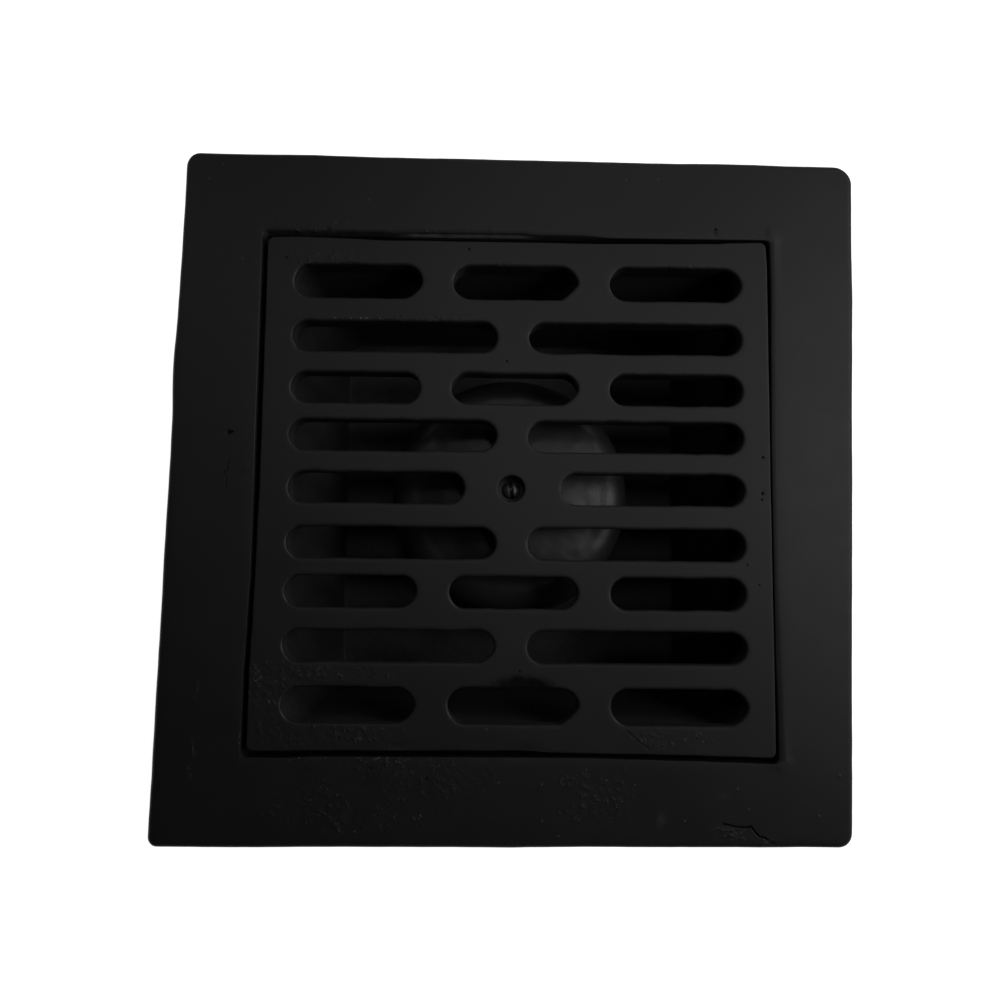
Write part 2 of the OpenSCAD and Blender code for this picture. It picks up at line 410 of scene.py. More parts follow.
# Lines of damage: dark gouges, pale scuffs, raised flakes and one open crack
GOUGES = [
    [(-83.2, 7.5), (-83.6, 6.3)], [(-84.3, 4.6), (-83.7, 1.9)], [(-83.5, 5.6), (-83.0, 4.4)],
    [(-79.4, 5.0), (-79.0, 3.8)], [(-83.9, 1.2), (-83.7, -0.6)],
    [(33.3, -69.2), (36.0, -71.6), (39.5, -74.1)],
]
SCUFFS = [
    [(-90.6, -60.8), (-91.0, -58.9)], [(-89.6, -58.3), (-89.4, -56.6)], [(-91.4, -79.1), (-91.2, -82.7)],
    [(-90.6, -80.5), (-90.3, -83.0)], [(-89.8, -61.6), (-89.9, -60.2)],
    [(-50.0, -94.2), (-48.6, -96.6)], [(-90.5, -73.2), (-90.2, -75.6)],
]
FLAKES = [
    [(-74.3, -50.6), (-73.2, -52.2), (-72.2, -53.7), (-71.8, -55.1), (-73.2, -56.0), (-74.2, -55.2)],
    [(56.4, -96.4), (58.6, -95.6), (60.4, -96.3), (62.4, -96.1), (64.4, -97.4), (66.6, -96.6)],
    [(60.0, -98.0), (62.6, -97.5), (65.6, -98.9), (67.4, -98.3)],
    [(-56.4, -55.0), (-55.8, -52.4), (-54.4, -51.6), (-53.8, -53.6)],
]
CRACK = [(61.2, -94.7), (63.0, -95.2), (65.0, -95.5), (67.3, -95.5), (68.0, -95.1), (69.5, -97.1),
         (70.5, -98.1), (72.0, -98.3), (73.1, -99.1), (74.2, -99.7)]
LINES = [*GOUGES, *SCUFFS, *FLAKES, CRACK]

# Smears on the faces, each as x, y, half widths and tone: pale above 0, and dark below as painted shade
SMEARS_AND_SHADE = [
    (2.9, -57.0, 13.0, 4.8, -1.3), (42.5, -93.3, 1.2, 2.6, 0.30), (60.5, -86.5, 2.0, 1.0, 0.12),
    (-46.8, -93.0, 1.0, 3.2, 0.14),
]

# Broad shallow hollows, each as x, y, half widths and depth
HOLLOWS = [
    (-16.0, -75.8, 15.0, 1.8, 0.22), (1.5, -56.6, 10.0, 2.9, 0.55), (2.5, -74.6, 11.0, 2.6, 0.35),
    (-32.0, -73.6, 5.5, 1.4, 0.25), (42.5, -93.4, 1.5, 2.6, -0.10), (-46.5, -92.5, 1.6, 4.5, -0.08),
    (-58.0, 70.0, 3.0, 2.2, 0.10),
]

# Rings and rows of mesh points round a mark, as shares of its radius and as offsets from its line
PIT_RINGS = (0.0, 0.3, 0.55, 0.8, 1.0, 1.25)
LINE_ROWS = (-0.6, -0.3, -0.13, 0.0, 0.13, 0.3, 0.6)
LINE_STEP = 0.3


def near_segment(x, y, a, b):
    """Distance from a point to a segment."""
    dx, dy = b[0] - a[0], b[1] - a[1]
    t = ((x - a[0]) * dx + (y - a[1]) * dy) / (dx * dx + dy * dy)
    t = min(max(t, 0.0), 1.0)
    return math.hypot(x - a[0] - dx * t, y - a[1] - dy * t)


def near_line(x, y, line):
    return min(near_segment(x, y, a, b) for a, b in zip(line, line[1:]))


def mark_points(allowed):
    """Extra points round each mark, so that it has a form of its own."""
    points = []
    marks = [(x, y, r) for x, y, r, _ in PITS] + [(x, y, NIB_R) for x, y in NIBS]
    for x, y, r in marks:
        for k, share in enumerate(PIT_RINGS):
            steps = 1 if share == 0 else 10
            for i in range(steps):
                angle = math.tau * (i + 0.5 * (k % 2)) / steps
                points.append((x + share * r * math.cos(angle), y + share * r * math.sin(angle)))
    for line in LINES:
        for a, b in zip(line, line[1:]):
            length = math.dist(a, b)
            across = ((a[1] - b[1]) / length, (b[0] - a[0]) / length)
            for i in range(max(2, round(length / LINE_STEP))):
                t = i * LINE_STEP / length
                for off in LINE_ROWS:
                    points.append((a[0] + (b[0] - a[0]) * t + across[0] * off,
                                   a[1] + (b[1] - a[1]) * t + across[1] * off))
    return [p for p in points if allowed(p[0], p[1], 0.12)]


def clear_of_marks(x, y, gap):
    for mx, my, r, _ in PITS:
        if math.hypot(x - mx, y - my) < 1.25 * r + gap:
            return False
    for mx, my in NIBS:
        if math.hypot(x - mx, y - my) < 0.55 + gap:
            return False
    return all(near_line(x, y, line) > 0.6 + gap for line in LINES)


def hollow_depth(x, y):
    depth = 0.0
    for *place, deep in HOLLOWS:
        d = off_centre(x, y, *place)
        if d < 1:
            depth += deep * (1 - smooth(d)) * (1 + 0.25 * wave(x, y, 0, 1.8, 13))
    return depth


def marks_depth(x, y):
    """How far the marks sink the upper faces at a point."""
    depth = hollow_depth(x, y)
    for mx, my, r, deep in PITS:
        d = math.hypot(x - mx, y - my) / r
        if d < 1.25:
            ragged = 1 + 0.25 * wave(x, y, 0, 0.5, 9)
            depth += deep * (1 - smooth(d * ragged)) - 0.06 * smooth(1.25 - d) * smooth(d)
    for mx, my in NIBS:
        d = math.hypot(x - mx, y - my) / NIB_R
        if d < 1:
            depth -= 0.16 * (1 - smooth(d))
    for line in GOUGES:
        d = near_line(x, y, line)
        if d < 0.6:
            broken = 0.7 + 0.6 * wave(x, y, 0, 0.9, 14)
            side = smooth(d / 0.35)
            depth += broken * (0.09 * (1 - side) - 0.04 * side * (1 - smooth(d / 0.6)))
    for line in [*SCUFFS, *FLAKES]:
        d = near_line(x, y, line)
        if d < 0.6:
            depth -= (0.06 + 0.14 * wave(x, y, 0, 0.9, 15)) * (1 - smooth(d / 0.5))
    if x > 55 and y < -90:
        d = near_line(x, y, CRACK)
        if d < 0.6:
            depth += 0.9 * (1 - smooth(d / 0.26)) - 0.05 * smooth(d / 0.25) * (1 - smooth(d / 0.6))
    return depth


def stains_and_shade_at(x, y):
    """-1 for painted shade in pits and the dark smear and for darkened gouges and crack, up to 1 for paint
    rubbed pale, else 0.
    """
    dark = pale = 0.0
    # Painted shade: each pit is darkened towards its middle, as the shade inside it.
    for mx, my, r, _ in PITS:
        d = math.hypot(x - mx, y - my) / r
        if d < 1.1:
            dark = max(dark, 1 - smooth((d - 0.45) / 0.5))
    for mx, my in NIBS:
        d = math.hypot(x - mx, y - my) / NIB_R
        if d < 1:
            pale = max(pale, 0.75 * (1 - smooth(d)))
    for line in GOUGES:
        d = near_line(x, y, line)
        if d < 0.5:
            dark = max(dark, (0.65 + 0.4 * wave(x, y, 0, 1.4, 16)) * (1 - smooth((d - 0.08) / 0.3)))
    for line in [*SCUFFS, *FLAKES]:
        d = near_line(x, y, line)
        if d < 0.5:
            pale = max(pale, (0.18 + 0.75 * wave(x, y, 0, 0.9, 17)) * (1 - smooth((d - 0.05) / 0.3)))
    if x > 55 and y < -90:
        dark = max(dark, 1 - smooth((near_line(x, y, CRACK) - 0.1) / 0.25))
    # Painted shade in the dark smear over the hollow above the lowest row's middle slot; the others are
    # pale.
    for *place, tone in SMEARS_AND_SHADE:
        d = off_centre(x, y, *place)
        if d < 1:
            strength = tone * (1 + 0.6 * wave(x, y, 0, 2.5, 18)) * (1 - smooth((d - 0.35) / 0.65))
            pale, dark = max(pale, strength), max(dark, -strength)
    return pale - dark


# Zones where the casting is rough, each as x, y, half widths and height of the roughness
ROUGH_ZONES = [
    (-66.0, -62.0, 12.0, 16.0, 0.28), (-52.0, -70.5, 26.0, 4.0, 0.24), (-50.0, -53.5, 22.0, 2.6, 0.13),
    (-30.0, -82.5, 30.0, 6.5, 0.20), (-44.0, -90.0, 34.0, 9.0, 0.10), (24.0, -87.0, 16.0, 11.0, 0.08),
    (4.0, -90.0, 12.0, 9.0, 0.05), (-60.0, 79.8, 18.0, 2.6, 0.20), (64.0, -97.6, 9.0, 2.8, 0.20),
    (46.0, -71.6, 15.0, 3.0, 0.07), (-58.0, 69.4, 15.0, 3.0, 0.10), (28.0, -69.5, 26.0, 4.0, 0.05),
    (52.0, 66.0, 12.0, 1.8, 0.10), (-33.0, 51.6, 22.0, 1.6, 0.10), (-88.0, -88.0, 10.0, 10.0, 0.06),
    (-86.0, 94.0, 14.0, 7.0, 0.05), (-72.5, 68.0, 3.0, 10.0, 0.12),
]


def roughness_at(x, y):
    most = 0.0
    for *place, height in ROUGH_ZONES:
        d = off_centre(x, y, *place)
        if d < 1.15:
            most = max(most, height * (1 - smooth((d - 0.4) / 0.75)))
    if most > 0:
        most *= smooth(0.75 + 1.6 * wave(x, y, 0, 6.5, 19))
    return most


def fine_grid(half, coarse, fine, allowed):
    """A grid that is finer in the rough zones, with the points of the marks."""

    def off_marks(x, y, gap):
        return allowed(x, y, gap) and clear_of_marks(x, y, gap)

    def smooth_part(x, y, gap):
        return off_marks(x, y, gap) and roughness_at(x, y) < 0.015

    def rough_part(x, y, gap):
        return roughness_at(x, y) >= 0.015 and off_marks(x, y, gap)

    return lattice(half, coarse, smooth_part) + lattice(half, fine, rough_part) + mark_points(allowed)


def cast_skin(x, y, z, seed, height=0.12):
    """Unevenness of the casting under its paint, from -height to 0."""
    broad = wave(x, y, z, 34.0, seed)
    small = wave(x, y, z, 9.0, seed + 1)
    return height * (-0.5 + 0.42 * broad + 0.08 * small)


def top_skin(x, y, z, seed):
    """Unevenness of an upper face, with its rough zones and marks."""
    rough = roughness_at(x, y)
    d = cast_skin(x, y, z, seed)
    if rough > 0:
        lumps = 0.7 * wave(x, y, z, 2.4, seed + 2) + 0.7 * wave(x, y, z, 1.2, seed + 3)
        bead = max(0.0, wave(x, y, z, 1.3, seed + 4) - 0.25)
        d += rough * (0.5 * lumps + 1.2 * bead - 0.3)
    return min(d - 0.13 - marks_depth(x, y), -0.005)


# Frame and bowl, one casting


def inside_flange(x, y, gap):
    if max(abs(x), abs(y)) < RECESS_HALF + RIM_W + gap:
        return False
    loop_gap = FLANGE_EDGE_R + 0.9 + gap
    for k in range(4):
        a, b = FLANGE_CORNERS[k], FLANGE_CORNERS[(k + 1) % 4]
        length = math.dist(a, b)
        side = ((b[0] - a[0]) * (y - a[1]) - (b[1] - a[1]) * (x - a[0])) / length
        if side < loop_gap:
            return False
    return True


def moved_out(loop, out_at):
    """Moves each point of a loop outwards in plan by out_at(x, y)."""
    moved = []
    for i, (x, y) in enumerate(loop):
        ax, ay = loop[i - 1]
        bx, by = loop[(i + 1) % len(loop)]
        tx, ty = bx - ax, by - ay
        length = math.hypot(tx, ty) or 1.0
        d = out_at(x, y)
        moved.append((x + ty / length * d, y - tx / length * d))
    return moved


def wavy(loop, size, height, seed, middle=-0.5):
    """Moves a loop in and out by noise in plan, about this middle share of the height."""
    return moved_out(loop, lambda x, y: height * (middle + 0.5 * wave(x, y, 0, size, seed)))


def edge_wear(loop):
    """In and out of the frame's cast edge: its swells, and noise that is coarse and fine."""
    swollen = []
    for x, y in loop:
        out = 0.0
        for sx, sy, reach, height in SWELLS:
            out += height * (1 - smooth(math.hypot(x - sx, y - sy) / reach))
        d = max(abs(x), abs(y))
        swollen.append((x + out * x / d * (abs(x) == d), y + out * y / d * (abs(y) == d)))
    return wavy(wavy(swollen, 30.0, 0.34, 31, 0.0), 5.0, 0.14, 32, 0.0)


def flange_fall(x, y):
    """How far the flange's face has fallen on its way out to the edge; its left edge is rubbed rounder."""
    away = (x ** 8 + y ** 8) ** 0.125
    from_left = x + 101.15 - 0.0122 * y
    rubbed = 0.42 * max(0.0, 1 - from_left / (4.0 + 1.5 * wave(x, y, 0, 30.0, 20))) ** 2
    share = (away - FALL_FROM) / (FLANGE_HALF - FALL_FROM)
    return FLANGE_FALL * min(max(share, 0.0), 1.1) + rubbed


def recess_loop(out=0.0):
    return strayed(square_loop(RECESS_HALF + out, RECESS_R), RECESS_HALF + out, RECESS_STRAY)


def crisp_edge(r, t):
    """Out and depth of a rounded edge of this radius."""
    turn = t * math.pi / 2
    return r * (1 - math.cos(turn)), r * (1 - math.sin(turn))


def back_edge(x, t):
    """Out and depth of the recess's back edge: sloped on the left, then stepped, then crisp."""
    part = min(t / 0.7, 1.0)
    past = max(t - 0.7, 0.0)
    slope_out = 0.85 * part + past
    slope_depth = 3.0 * (1 - 0.94 * part) - 0.6 * past
    step_out = 1.0 * min(t / 0.5, 1.0) + 0.6 * max(t - 0.5, 0.0)
    step_depth = along([(0.0, 1.2), (0.5, 0.85), (0.75, 0.15), (1.0, 0.0)], t)
    crisp_out, crisp_depth = crisp_edge(0.4, t)
    middle = smooth((x + 38) / 8) * (1 - smooth((x - 2) / 6))
    right = smooth((x - 18) / 12)
    out = slope_out + (step_out - slope_out) * middle
    depth = slope_depth + (step_depth - slope_depth) * middle
    return out + (crisp_out - out) * right, depth + (crisp_depth - depth) * right


def rim_points(t):
    """The recess's upper edge from its wall (0) up to the face (1): crisp on the left and in front,
    rubbed on the right, and as back_edge says at the back."""
    loop = wavy(wavy(recess_loop(), 6, 0.16 * t, 22), 1.7, 0.12 * t, 23)
    points = []
    for (x, y), (sx, sy) in zip(loop, square_loop(RECESS_HALF, RECESS_R)):
        crisp_out, crisp_depth = crisp_edge(0.5 - 0.22 * smooth((20 - y) / 30), t)
        across = smooth((abs(sx) - RECESS_HALF) / RECESS_R + 1)
        upright = smooth((abs(sy) - RECESS_HALF) / RECESS_R + 1)
        low = smooth((-20 - y) / 30)
        back_out, back_depth = back_edge(x, t)
        out_x = (1.5 + 0.5 * low) * t if sx > 0 else crisp_out
        out_y = back_out if sy > 0 else crisp_out
        side_depth = (0.22 + 0.15 * low) * (1 - t) ** 2 if sx > 0 else crisp_depth
        end_depth = back_depth if sy > 0 else crisp_depth
        share = across / (across + upright)
        depth = side_depth * share + end_depth * (1 - share)
        if sy > 0 and upright > 0.5:
            worn = 0.2 + 0.8 * smooth((-x - 5) / 30)
            lumps = wave(x, 3 * t, 0, 1.5, 28) + 0.7 * wave(x, 3 * t, 0, 0.7, 29)
            depth += 0.30 * worn * lumps * math.sin(math.pi * min(t / 0.75, 1.0))
        moved_x = x + math.copysign(out_x * across, sx)
        moved_y = y + math.copysign(out_y * upright, sy)
        points.append((moved_x, moved_y, TOP_Z - depth))
    return points


def add_bowl(shell):
    """The bore, the standpipe, the bowl's floor and sides, the ledge and the recess's wall."""
    shell.sweep(disc_loop, [
        (BORE_R, STANDPIPE_Z - 1.4, 0.0, 9), (BORE_R + 0.4, STANDPIPE_Z - 0.4, 1.0),
        (BORE_R + 1.0, STANDPIPE_Z, 1.0), (STANDPIPE_R - 1.5, STANDPIPE_Z, 0.6),
        (STANDPIPE_R - 0.4, STANDPIPE_Z - 0.5, 1.0), (STANDPIPE_R, STANDPIPE_Z - 1.5, 0.6),
        (STANDPIPE_R, FLOOR_Z + 4, 0.0, 6), (STANDPIPE_R + 0.5, FLOOR_Z + 2),
        (STANDPIPE_R + 1.7, FLOOR_Z + 0.7), (STANDPIPE_R + 4, FLOOR_Z),
    ])
    shell.to(square_loop(FLOOR_HALF - FLOOR_FILLET, BOWL_R - FLOOR_FILLET), FLOOR_Z, steps=10)
    for k in range(1, 5):
        angle = math.pi / 2 * k / 4
        out = FLOOR_FILLET * (math.sin(angle) - 1)
        z = FLOOR_Z + FLOOR_FILLET * (1 - math.cos(angle))
        shell.to(square_loop(FLOOR_HALF + out, BOWL_R + out), z)
    lip = 0.8
    mouth = MOUTH_HALF - lip * (MOUTH_HALF - FLOOR_HALF) / (LEDGE_Z - FLOOR_Z - FLOOR_FILLET)
    shell.to(square_loop(mouth, BOWL_R), LEDGE_Z - lip, steps=12)
    shell.to(wavy(square_loop(mouth + 0.3, BOWL_R), 5, 0.15, 21), LEDGE_Z - 0.25, 0.8)
    shell.to(wavy(square_loop(mouth + 0.9, BOWL_R), 5, 0.15, 21), LEDGE_Z, 0.5)
    shell.sweep(recess_loop, [
        (-0.5, LEDGE_Z, 0.0, 5), (-0.15, LEDGE_Z + 0.15), (0.0, LEDGE_Z + 0.5),
        (0.0, TOP_Z - RIM_BELOW, 0.0, 4),
    ])


def add_face(shell):
    """The recess's rim, the flange's face and its rounded outer edge."""
    for k in range(11):
        shell.lift(rim_points(k / 10), 0.2 + 0.5 * math.sin(math.pi * k / 12))
    inner = shell.to(square_loop(RECESS_HALF + RIM_W, RECESS_R + RIM_W), TOP_Z)
    outer = shell.ring(edge_wear(flange_loop(FLANGE_EDGE_R + 0.5, 2.0)), TOP_Z)
    shell.cap(outer, [inner], fine_grid(102, 1.35, 0.55, inside_flange), TOP_Z)
    for k in range(7):
        angle = math.pi / 2 * k / 6
        inset = FLANGE_EDGE_R * (1 - math.sin(angle))
        z = TOP_Z - FLANGE_EDGE_R * (1 - math.cos(angle))
        shell.to(edge_wear(flange_loop(inset)), z, 0.3 + 0.6 * math.sin(2 * angle))


def add_underside(shell, under):
    """The flange's underside, the outside of the housing and the tub, and the spigot."""
    housing = RECESS_HALF + WALL_T
    step_z = LEDGE_Z - WALL_T
    tub_top = MOUTH_HALF + WALL_T
    tub_r = 9
    tub_flat = FLOOR_HALF + WALL_T - tub_r
    shell.to(edge_wear(flange_loop(0.0)), under + 0.6, 0.2, steps=3)
    shell.to(edge_wear(flange_loop(0.6)), under, 0.8)
    shell.to(square_loop(housing + 0.6, 5.5), under, steps=5)
    shell.sweep(lambda half: square_loop(half, 5), [
        (housing, under - 0.6), (housing, step_z + 0.6, 0.0, 2), (housing - 0.6, step_z, 0.5),
    ])
    shell.sweep(lambda half: square_loop(half, tub_r), [
        (tub_top - 0.6, step_z, 0.0, 3), (tub_top - 1.0, step_z - 0.6),
        (tub_flat + tub_r, SPIGOT_L + tub_r, 0.0, 7),
    ])
    for k in range(1, 9):
        angle = math.pi / 2 * k / 8
        r = tub_r * math.cos(angle)
        shell.to(square_loop(tub_flat + r, max(r, 0.05)), SPIGOT_L + tub_r - tub_r * math.sin(angle))
    shell.sweep(disc_loop, [
        (SPIGOT_R + 5, SPIGOT_L, 0.0, 5), (SPIGOT_R + 1.5, SPIGOT_L - 1.5), (SPIGOT_R, SPIGOT_L - 5),
        (SPIGOT_R, 2.0, 0.4, 6), (SPIGOT_R - 2, 0.0, 0.8), (BORE_R + 0.5, 0.0, 0.8, 2),
    ])


def build_body():
    shell = Shell()
    under = TOP_Z - FLANGE_T
    first = shell.ring(disc_loop(BORE_R), 0.5, 0.5)
    add_bowl(shell)
    add_face(shell)
    add_underside(shell, under)
    shell.bridge(shell.last, first)
    for i, (x, y, z) in enumerate(shell.points):
        if z > under and max(abs(x), abs(y)) > FALL_FROM:
            shell.points[i] = (x, y, z - flange_fall(x, y) * (z - under) / FLANGE_T)

    def shift(x, y, z, n, e):
        outside = max(abs(x), abs(y)) > FALL_FROM
        face = TOP_Z - (flange_fall(x, y) if outside else 0.0)
        upward = smooth((z - face + 1.5) / 1.4)
        if z < 0.6:
            return 0.0
        if not outside and z > TOP_Z - RIM_BELOW + 0.1:
            return (0.0, 0.0, upward * top_skin(x, y, TOP_Z, 2))
        inside = z < TOP_Z - 1.0 and max(abs(x), abs(y)) < RECESS_HALF + 0.5
        skin = cast_skin(x, y, z, 2, 0.3 if inside else 0.12)
        if inside and z < LEDGE_Z - 0.5:
            skin += 0.10 * wave(x, y, z, 3.0, 8)
        if upward > 0:
            top = top_skin(x, y, TOP_Z, 2)
            skin = skin * (1 - upward) + top * upward
        return skin

    def stains_and_painted_light(x, y, z):
        away = max(abs(x), abs(y))
        # Painted light: the recess's back wall is made paler as if lit from the front, more on the left
        # than the right.
        if y > RECESS_HALF - 1.0 and LEDGE_Z + 3 < z < TOP_Z - 0.12 and away < RECESS_HALF + 2.2:
            return (0.42 - 0.36 * smooth((x + 30) / 60)) * (0.8 + 0.7 * wave(x, y, z, 2.2, 27))
        return stains_and_shade_at(x, y) if z > TOP_Z - 1.8 and away > RECESS_HALF + 1.0 else 0.0

    return shell.mesh("drain_casting", shift, stains_and_painted_light)


# Grate


def slot_list():
    """Every slot as row, column, left end, right end, middle height and half width."""
    rows = []
    for side in (1, -1):
        for k, step in enumerate(ROW_STEPS):
            webs = THIRDS if k % 2 else HALVES
            width = END_SLOT_W if k == 3 else SLOT_W
            rows.append((5 - side * (k + 1), side * step, width, webs, WEB_W))
    rows.append((5, MIDDLE_ROW_Y, SLOT_W, BOSS_WEB, BOSS_WEB_W))
    slots = []
    for row, y, width, webs, web in sorted(rows):
        edges = [FIELD_LEFT]
        for w in webs:
            edges += [w - web / 2, w + web / 2]
        edges.append(FIELD_RIGHT)
        for column in range(len(edges) // 2):
            slots.append((row, column + 1, edges[2 * column], edges[2 * column + 1], y, width / 2))
    return slots


SLOTS = slot_list()
CAP_GAP = 0.8
SLOT_TURN_STEPS = 20
WELL_STEPS = 48
BOSS_STEPS = 72

# How far the lower right corner of a slot is flattened, by row and column
FLAT_CORNERS = {
    (1, 1): 0.45, (1, 2): 0.85, (1, 3): 0.2, (3, 2): 0.6, (7, 1): 0.3, (7, 2): 0.2, (8, 1): 0.35,
    (9, 1): 0.4, (9, 2): 0.75, (9, 3): 0.35,
}

# How far the upper right corner is flattened
FLAT_TOPS = {(9, 3): 0.3, (1, 2): 0.3, (1, 3): 0.3, (3, 2): 0.2, (9, 1): 0.2}

# How ragged the upper edge of a slot is, by row
RAGGED_ROWS = {1: 0.8, 2: 0.8, 3: 0.6, 4: 0.5, 5: 0.4, 6: 0.3, 7: 0.3, 8: 0.25, 9: 0.45}

# Small notches in the upper edges, by row: place, width and depth of each
NOTCHES = {
    1: [(-61.0, 0.7, 0.5), (-52.6, 0.8, 0.7), (-44.5, 0.5, 0.4), (-3.9, 0.9, 0.8), (-1.6, 0.6, 0.9),
        (3.0, 0.8, 0.6), (46.0, 0.7, 0.7), (49.6, 0.6, 0.8), (53.4, 0.8, 0.7), (57.2, 0.6, 0.6)],
    2: [(-44.4, 0.6, 0.9), (-32.0, 0.4, 0.6), (-26.1, 0.6, 0.6), (-22.5, 0.5, 0.5), (-16.9, 0.9, 0.9),
        (-52.0, 0.5, 0.4), (20.0, 0.5, 0.4), (41.0, 0.6, 0.5), (48.2, 0.5, 0.4)],
    3: [(-35.3, 0.5, 0.8), (-8.0, 0.5, 0.4), (6.5, 0.5, 0.5), (14.0, 0.6, 0.4), (50.0, 0.6, 0.4)],
    4: [(-50.2, 0.5, 0.5), (-30.0, 0.5, 0.4), (26.0, 0.6, 0.4)],
    9: [(-58.0, 0.6, 0.4), (-46.0, 0.6, 0.5), (-40.5, 0.5, 0.4)],
}


def slot_loop(slot, grow, straight, fine):
    """Round-ended loop, grown by this much, from the lower left on; its upper side has the fine steps."""
    row, column, x0, x1, y, half = slot
    r = half + grow
    left, right = x0 + half, x1 - half
    low_flat = FLAT_CORNERS.get((row, column), 0.0)
    top_flat = FLAT_TOPS.get((row, column), 0.0)
    points = []
    for i in range(straight):
        points.append((left + (right - left) * i / straight, y - r))
    for i in range(SLOT_TURN_STEPS):
        angle = -math.pi / 2 + math.pi * i / SLOT_TURN_STEPS
        power = 2 / (2 - (low_flat if angle < 0 else top_flat))
        px = right + r * math.cos(angle) ** power if abs(angle) < math.pi / 2 else right
        py = y + math.copysign(r * abs(math.sin(angle)) ** power, angle)
        points.append((px, py))
    for i in range(fine):
        points.append((right - (right - left) * i / fine, y + r))
    for i in range(SLOT_TURN_STEPS):
        angle = math.pi / 2 + math.pi * i / SLOT_TURN_STEPS
        points.append((left + r * math.cos(angle), y + r * math.sin(angle)))
    return points


def lip_grow(slot, x, share):
    """How far the lip has opened; it is worn wider at the slot's left end."""
    _, _, x0, _, _, half = slot
    left = smooth((x0 + half - x) / half + 0.2)
    return (LIP_R + (WORN_LIP_R - LIP_R) * left) * share


def ragged(loop, slot, amount, lip=0.0, chip=0.0):
    """The uneven edge of a cast slot; its upper side has lumps, small burrs and chips in its lip."""
    row, column, _, _, middle, half = slot
    seed = row * 3 + column

    def out_at(x, y):
        upper = smooth((y - middle) / half * 1.6 - 0.4) * RAGGED_ROWS[row]
        d = 0.22 * wave(x, y, 0, 7.0, seed) + 0.07 * wave(x, y, 0, 2.0, seed)
        burr = max(0.0, wave(x, y, 0, 1.5, seed + 40) - 0.12) * upper
        d = d * amount - 0.5 * burr * chip + 0.12 * upper * wave(x, y, 0, 0.8, seed + 50) * chip
        notches = NOTCHES.get(row, []) if y > middle and chip > 0 else []
        for place, width, deep in notches:
            off = abs(x - place) / width
            if off < 1.6:
                d += chip * 0.5 * deep * (1 - smooth(off)) - chip * 0.2 * smooth(off) * smooth(1.6 - off)
        return d + lip_grow(slot, x, lip)

    return moved_out(loop, out_at)


def painted_highlight_arc(x, y, z):
    """How bright a painted highlight is in a thin arc round the left end of a slot's lip, where light from
    the right catches it.
    """
    level = (z - GRATE_Z + 0.38) / 0.3
    if abs(level) > 1:
        return 0.0
    for row, _, x0, _, sy, half in SLOTS:
        side = (y - sy) / (half + LIP_R)
        if abs(side) < 1.1 and x0 - LIP_R - 0.1 < x < x0 + half:
            turned = smooth((x0 + 0.75 * half - x) / (0.6 * half))
            lower = 0.55 + 0.45 * smooth(0.5 - side) if row > 5 else 0.6
            broken = 0.55 + 1.4 * wave(x, y, 0, 2.2, 24)
            return min(max(1.35 * turned * lower * broken * (1 - level * level), 0.0), 1.0)
    return 0.0


def grate_loop(inset):
    loop = wavy(square_loop(GRATE_HALF - inset, GRATE_R - inset), 12, 0.16, 61, 0.0)
    return strayed(loop, GRATE_HALF - inset, GRATE_STRAY)


def inside_grate(x, y, gap):
    edge = GRATE_HALF - GRATE_EDGE_R - 0.75 - gap
    if x > edge + along(GRATE_STRAY["right"], y) or -x > edge + along(GRATE_STRAY["left"], y):
        return False
    if y > edge + along(GRATE_STRAY["back"], x) or -y > edge + along(GRATE_STRAY["front"], x):
        return False
    if math.hypot(x - BELL_AT[0], y - BELL_AT[1]) < WELL_R + 1.2 + gap:
        return False
    reach = LIP_R + CAP_GAP + gap
    for _, _, x0, x1, sy, half in SLOTS:
        if abs(y - sy) < half + reach:
            dx = max(x0 + half - x, x - x1 + half, 0.0)
            if math.hypot(dx, y - sy) < half + reach:
                return False
    return True


def below_grate(x, y, gap):
    if math.hypot(x - BELL_AT[0], y - BELL_AT[1]) < BOSS_R + 1.2 + gap:
        return False
    return inside_grate(x, y, gap)


def add_slot(shell, slot):
    """The walls of one slot and its worn lip; gives the rings at its lower and upper ends."""
    row, _, x0, x1, _, half = slot
    length = x1 - x0 - 2 * half
    straight = round(length / 0.9)
    fine = round(length / (0.35 if row < 4 else 0.8))

    def loop(grow, amount, lip=0.0, chip=0.0):
        return ragged(slot_loop(slot, grow, straight, fine), slot, amount, lip, chip)

    bottom = shell.ring(loop(SLOT_DRAFT + 0.5, 0.3), LEDGE_Z, 0.3)
    shell.to(loop(SLOT_DRAFT + 0.12, 0.4), LEDGE_Z + 0.12, 0.5)
    shell.to(loop(SLOT_DRAFT, 0.5), LEDGE_Z + 0.6, 0.2)
    shell.to(loop(0.0, 1.0), GRATE_Z - LIP_R, 0.1, steps=4)
    for k in range(1, 6):
        angle = math.pi / 2 * k / 5
        worn = loop(0.0, 1.0, 1 - math.cos(angle), math.sin(angle) ** 3)
        shell.to(worn, GRATE_Z - LIP_R + LIP_R * math.sin(angle), 0.4 + 0.6 * math.sin(2 * angle))
    return bottom, shell.to(loop(LIP_R + CAP_GAP, 0.4), GRATE_Z)


def add_well(shell):
    """The stud's hole and the well over it; gives the rings at its lower and upper ends."""
    floor_z = GRATE_Z - WELL_DEPTH
    edge_r = 0.6

    def loop(r):
        return circle_loop(r, WELL_STEPS)

    bottom = shell.ring(loop(STUD_R + 0.05), BOSS_Z)
    shell.sweep(loop, [
        (STUD_R + 0.05, floor_z, 0.0, 4), (WELL_R - 0.3, floor_z, 0.0, 2), (WELL_R, floor_z + 0.4),
        (WELL_R, GRATE_Z - edge_r, 0.2, 5),
    ])
    for k in range(1, 5):
        angle = math.pi / 2 * k / 4
        z = GRATE_Z - edge_r + edge_r * math.sin(angle)
        shell.to(loop(WELL_R + edge_r * (1 - math.cos(angle))), z, 1.0)
    return bottom, shell.to(loop(WELL_R + 1.1), GRATE_Z)


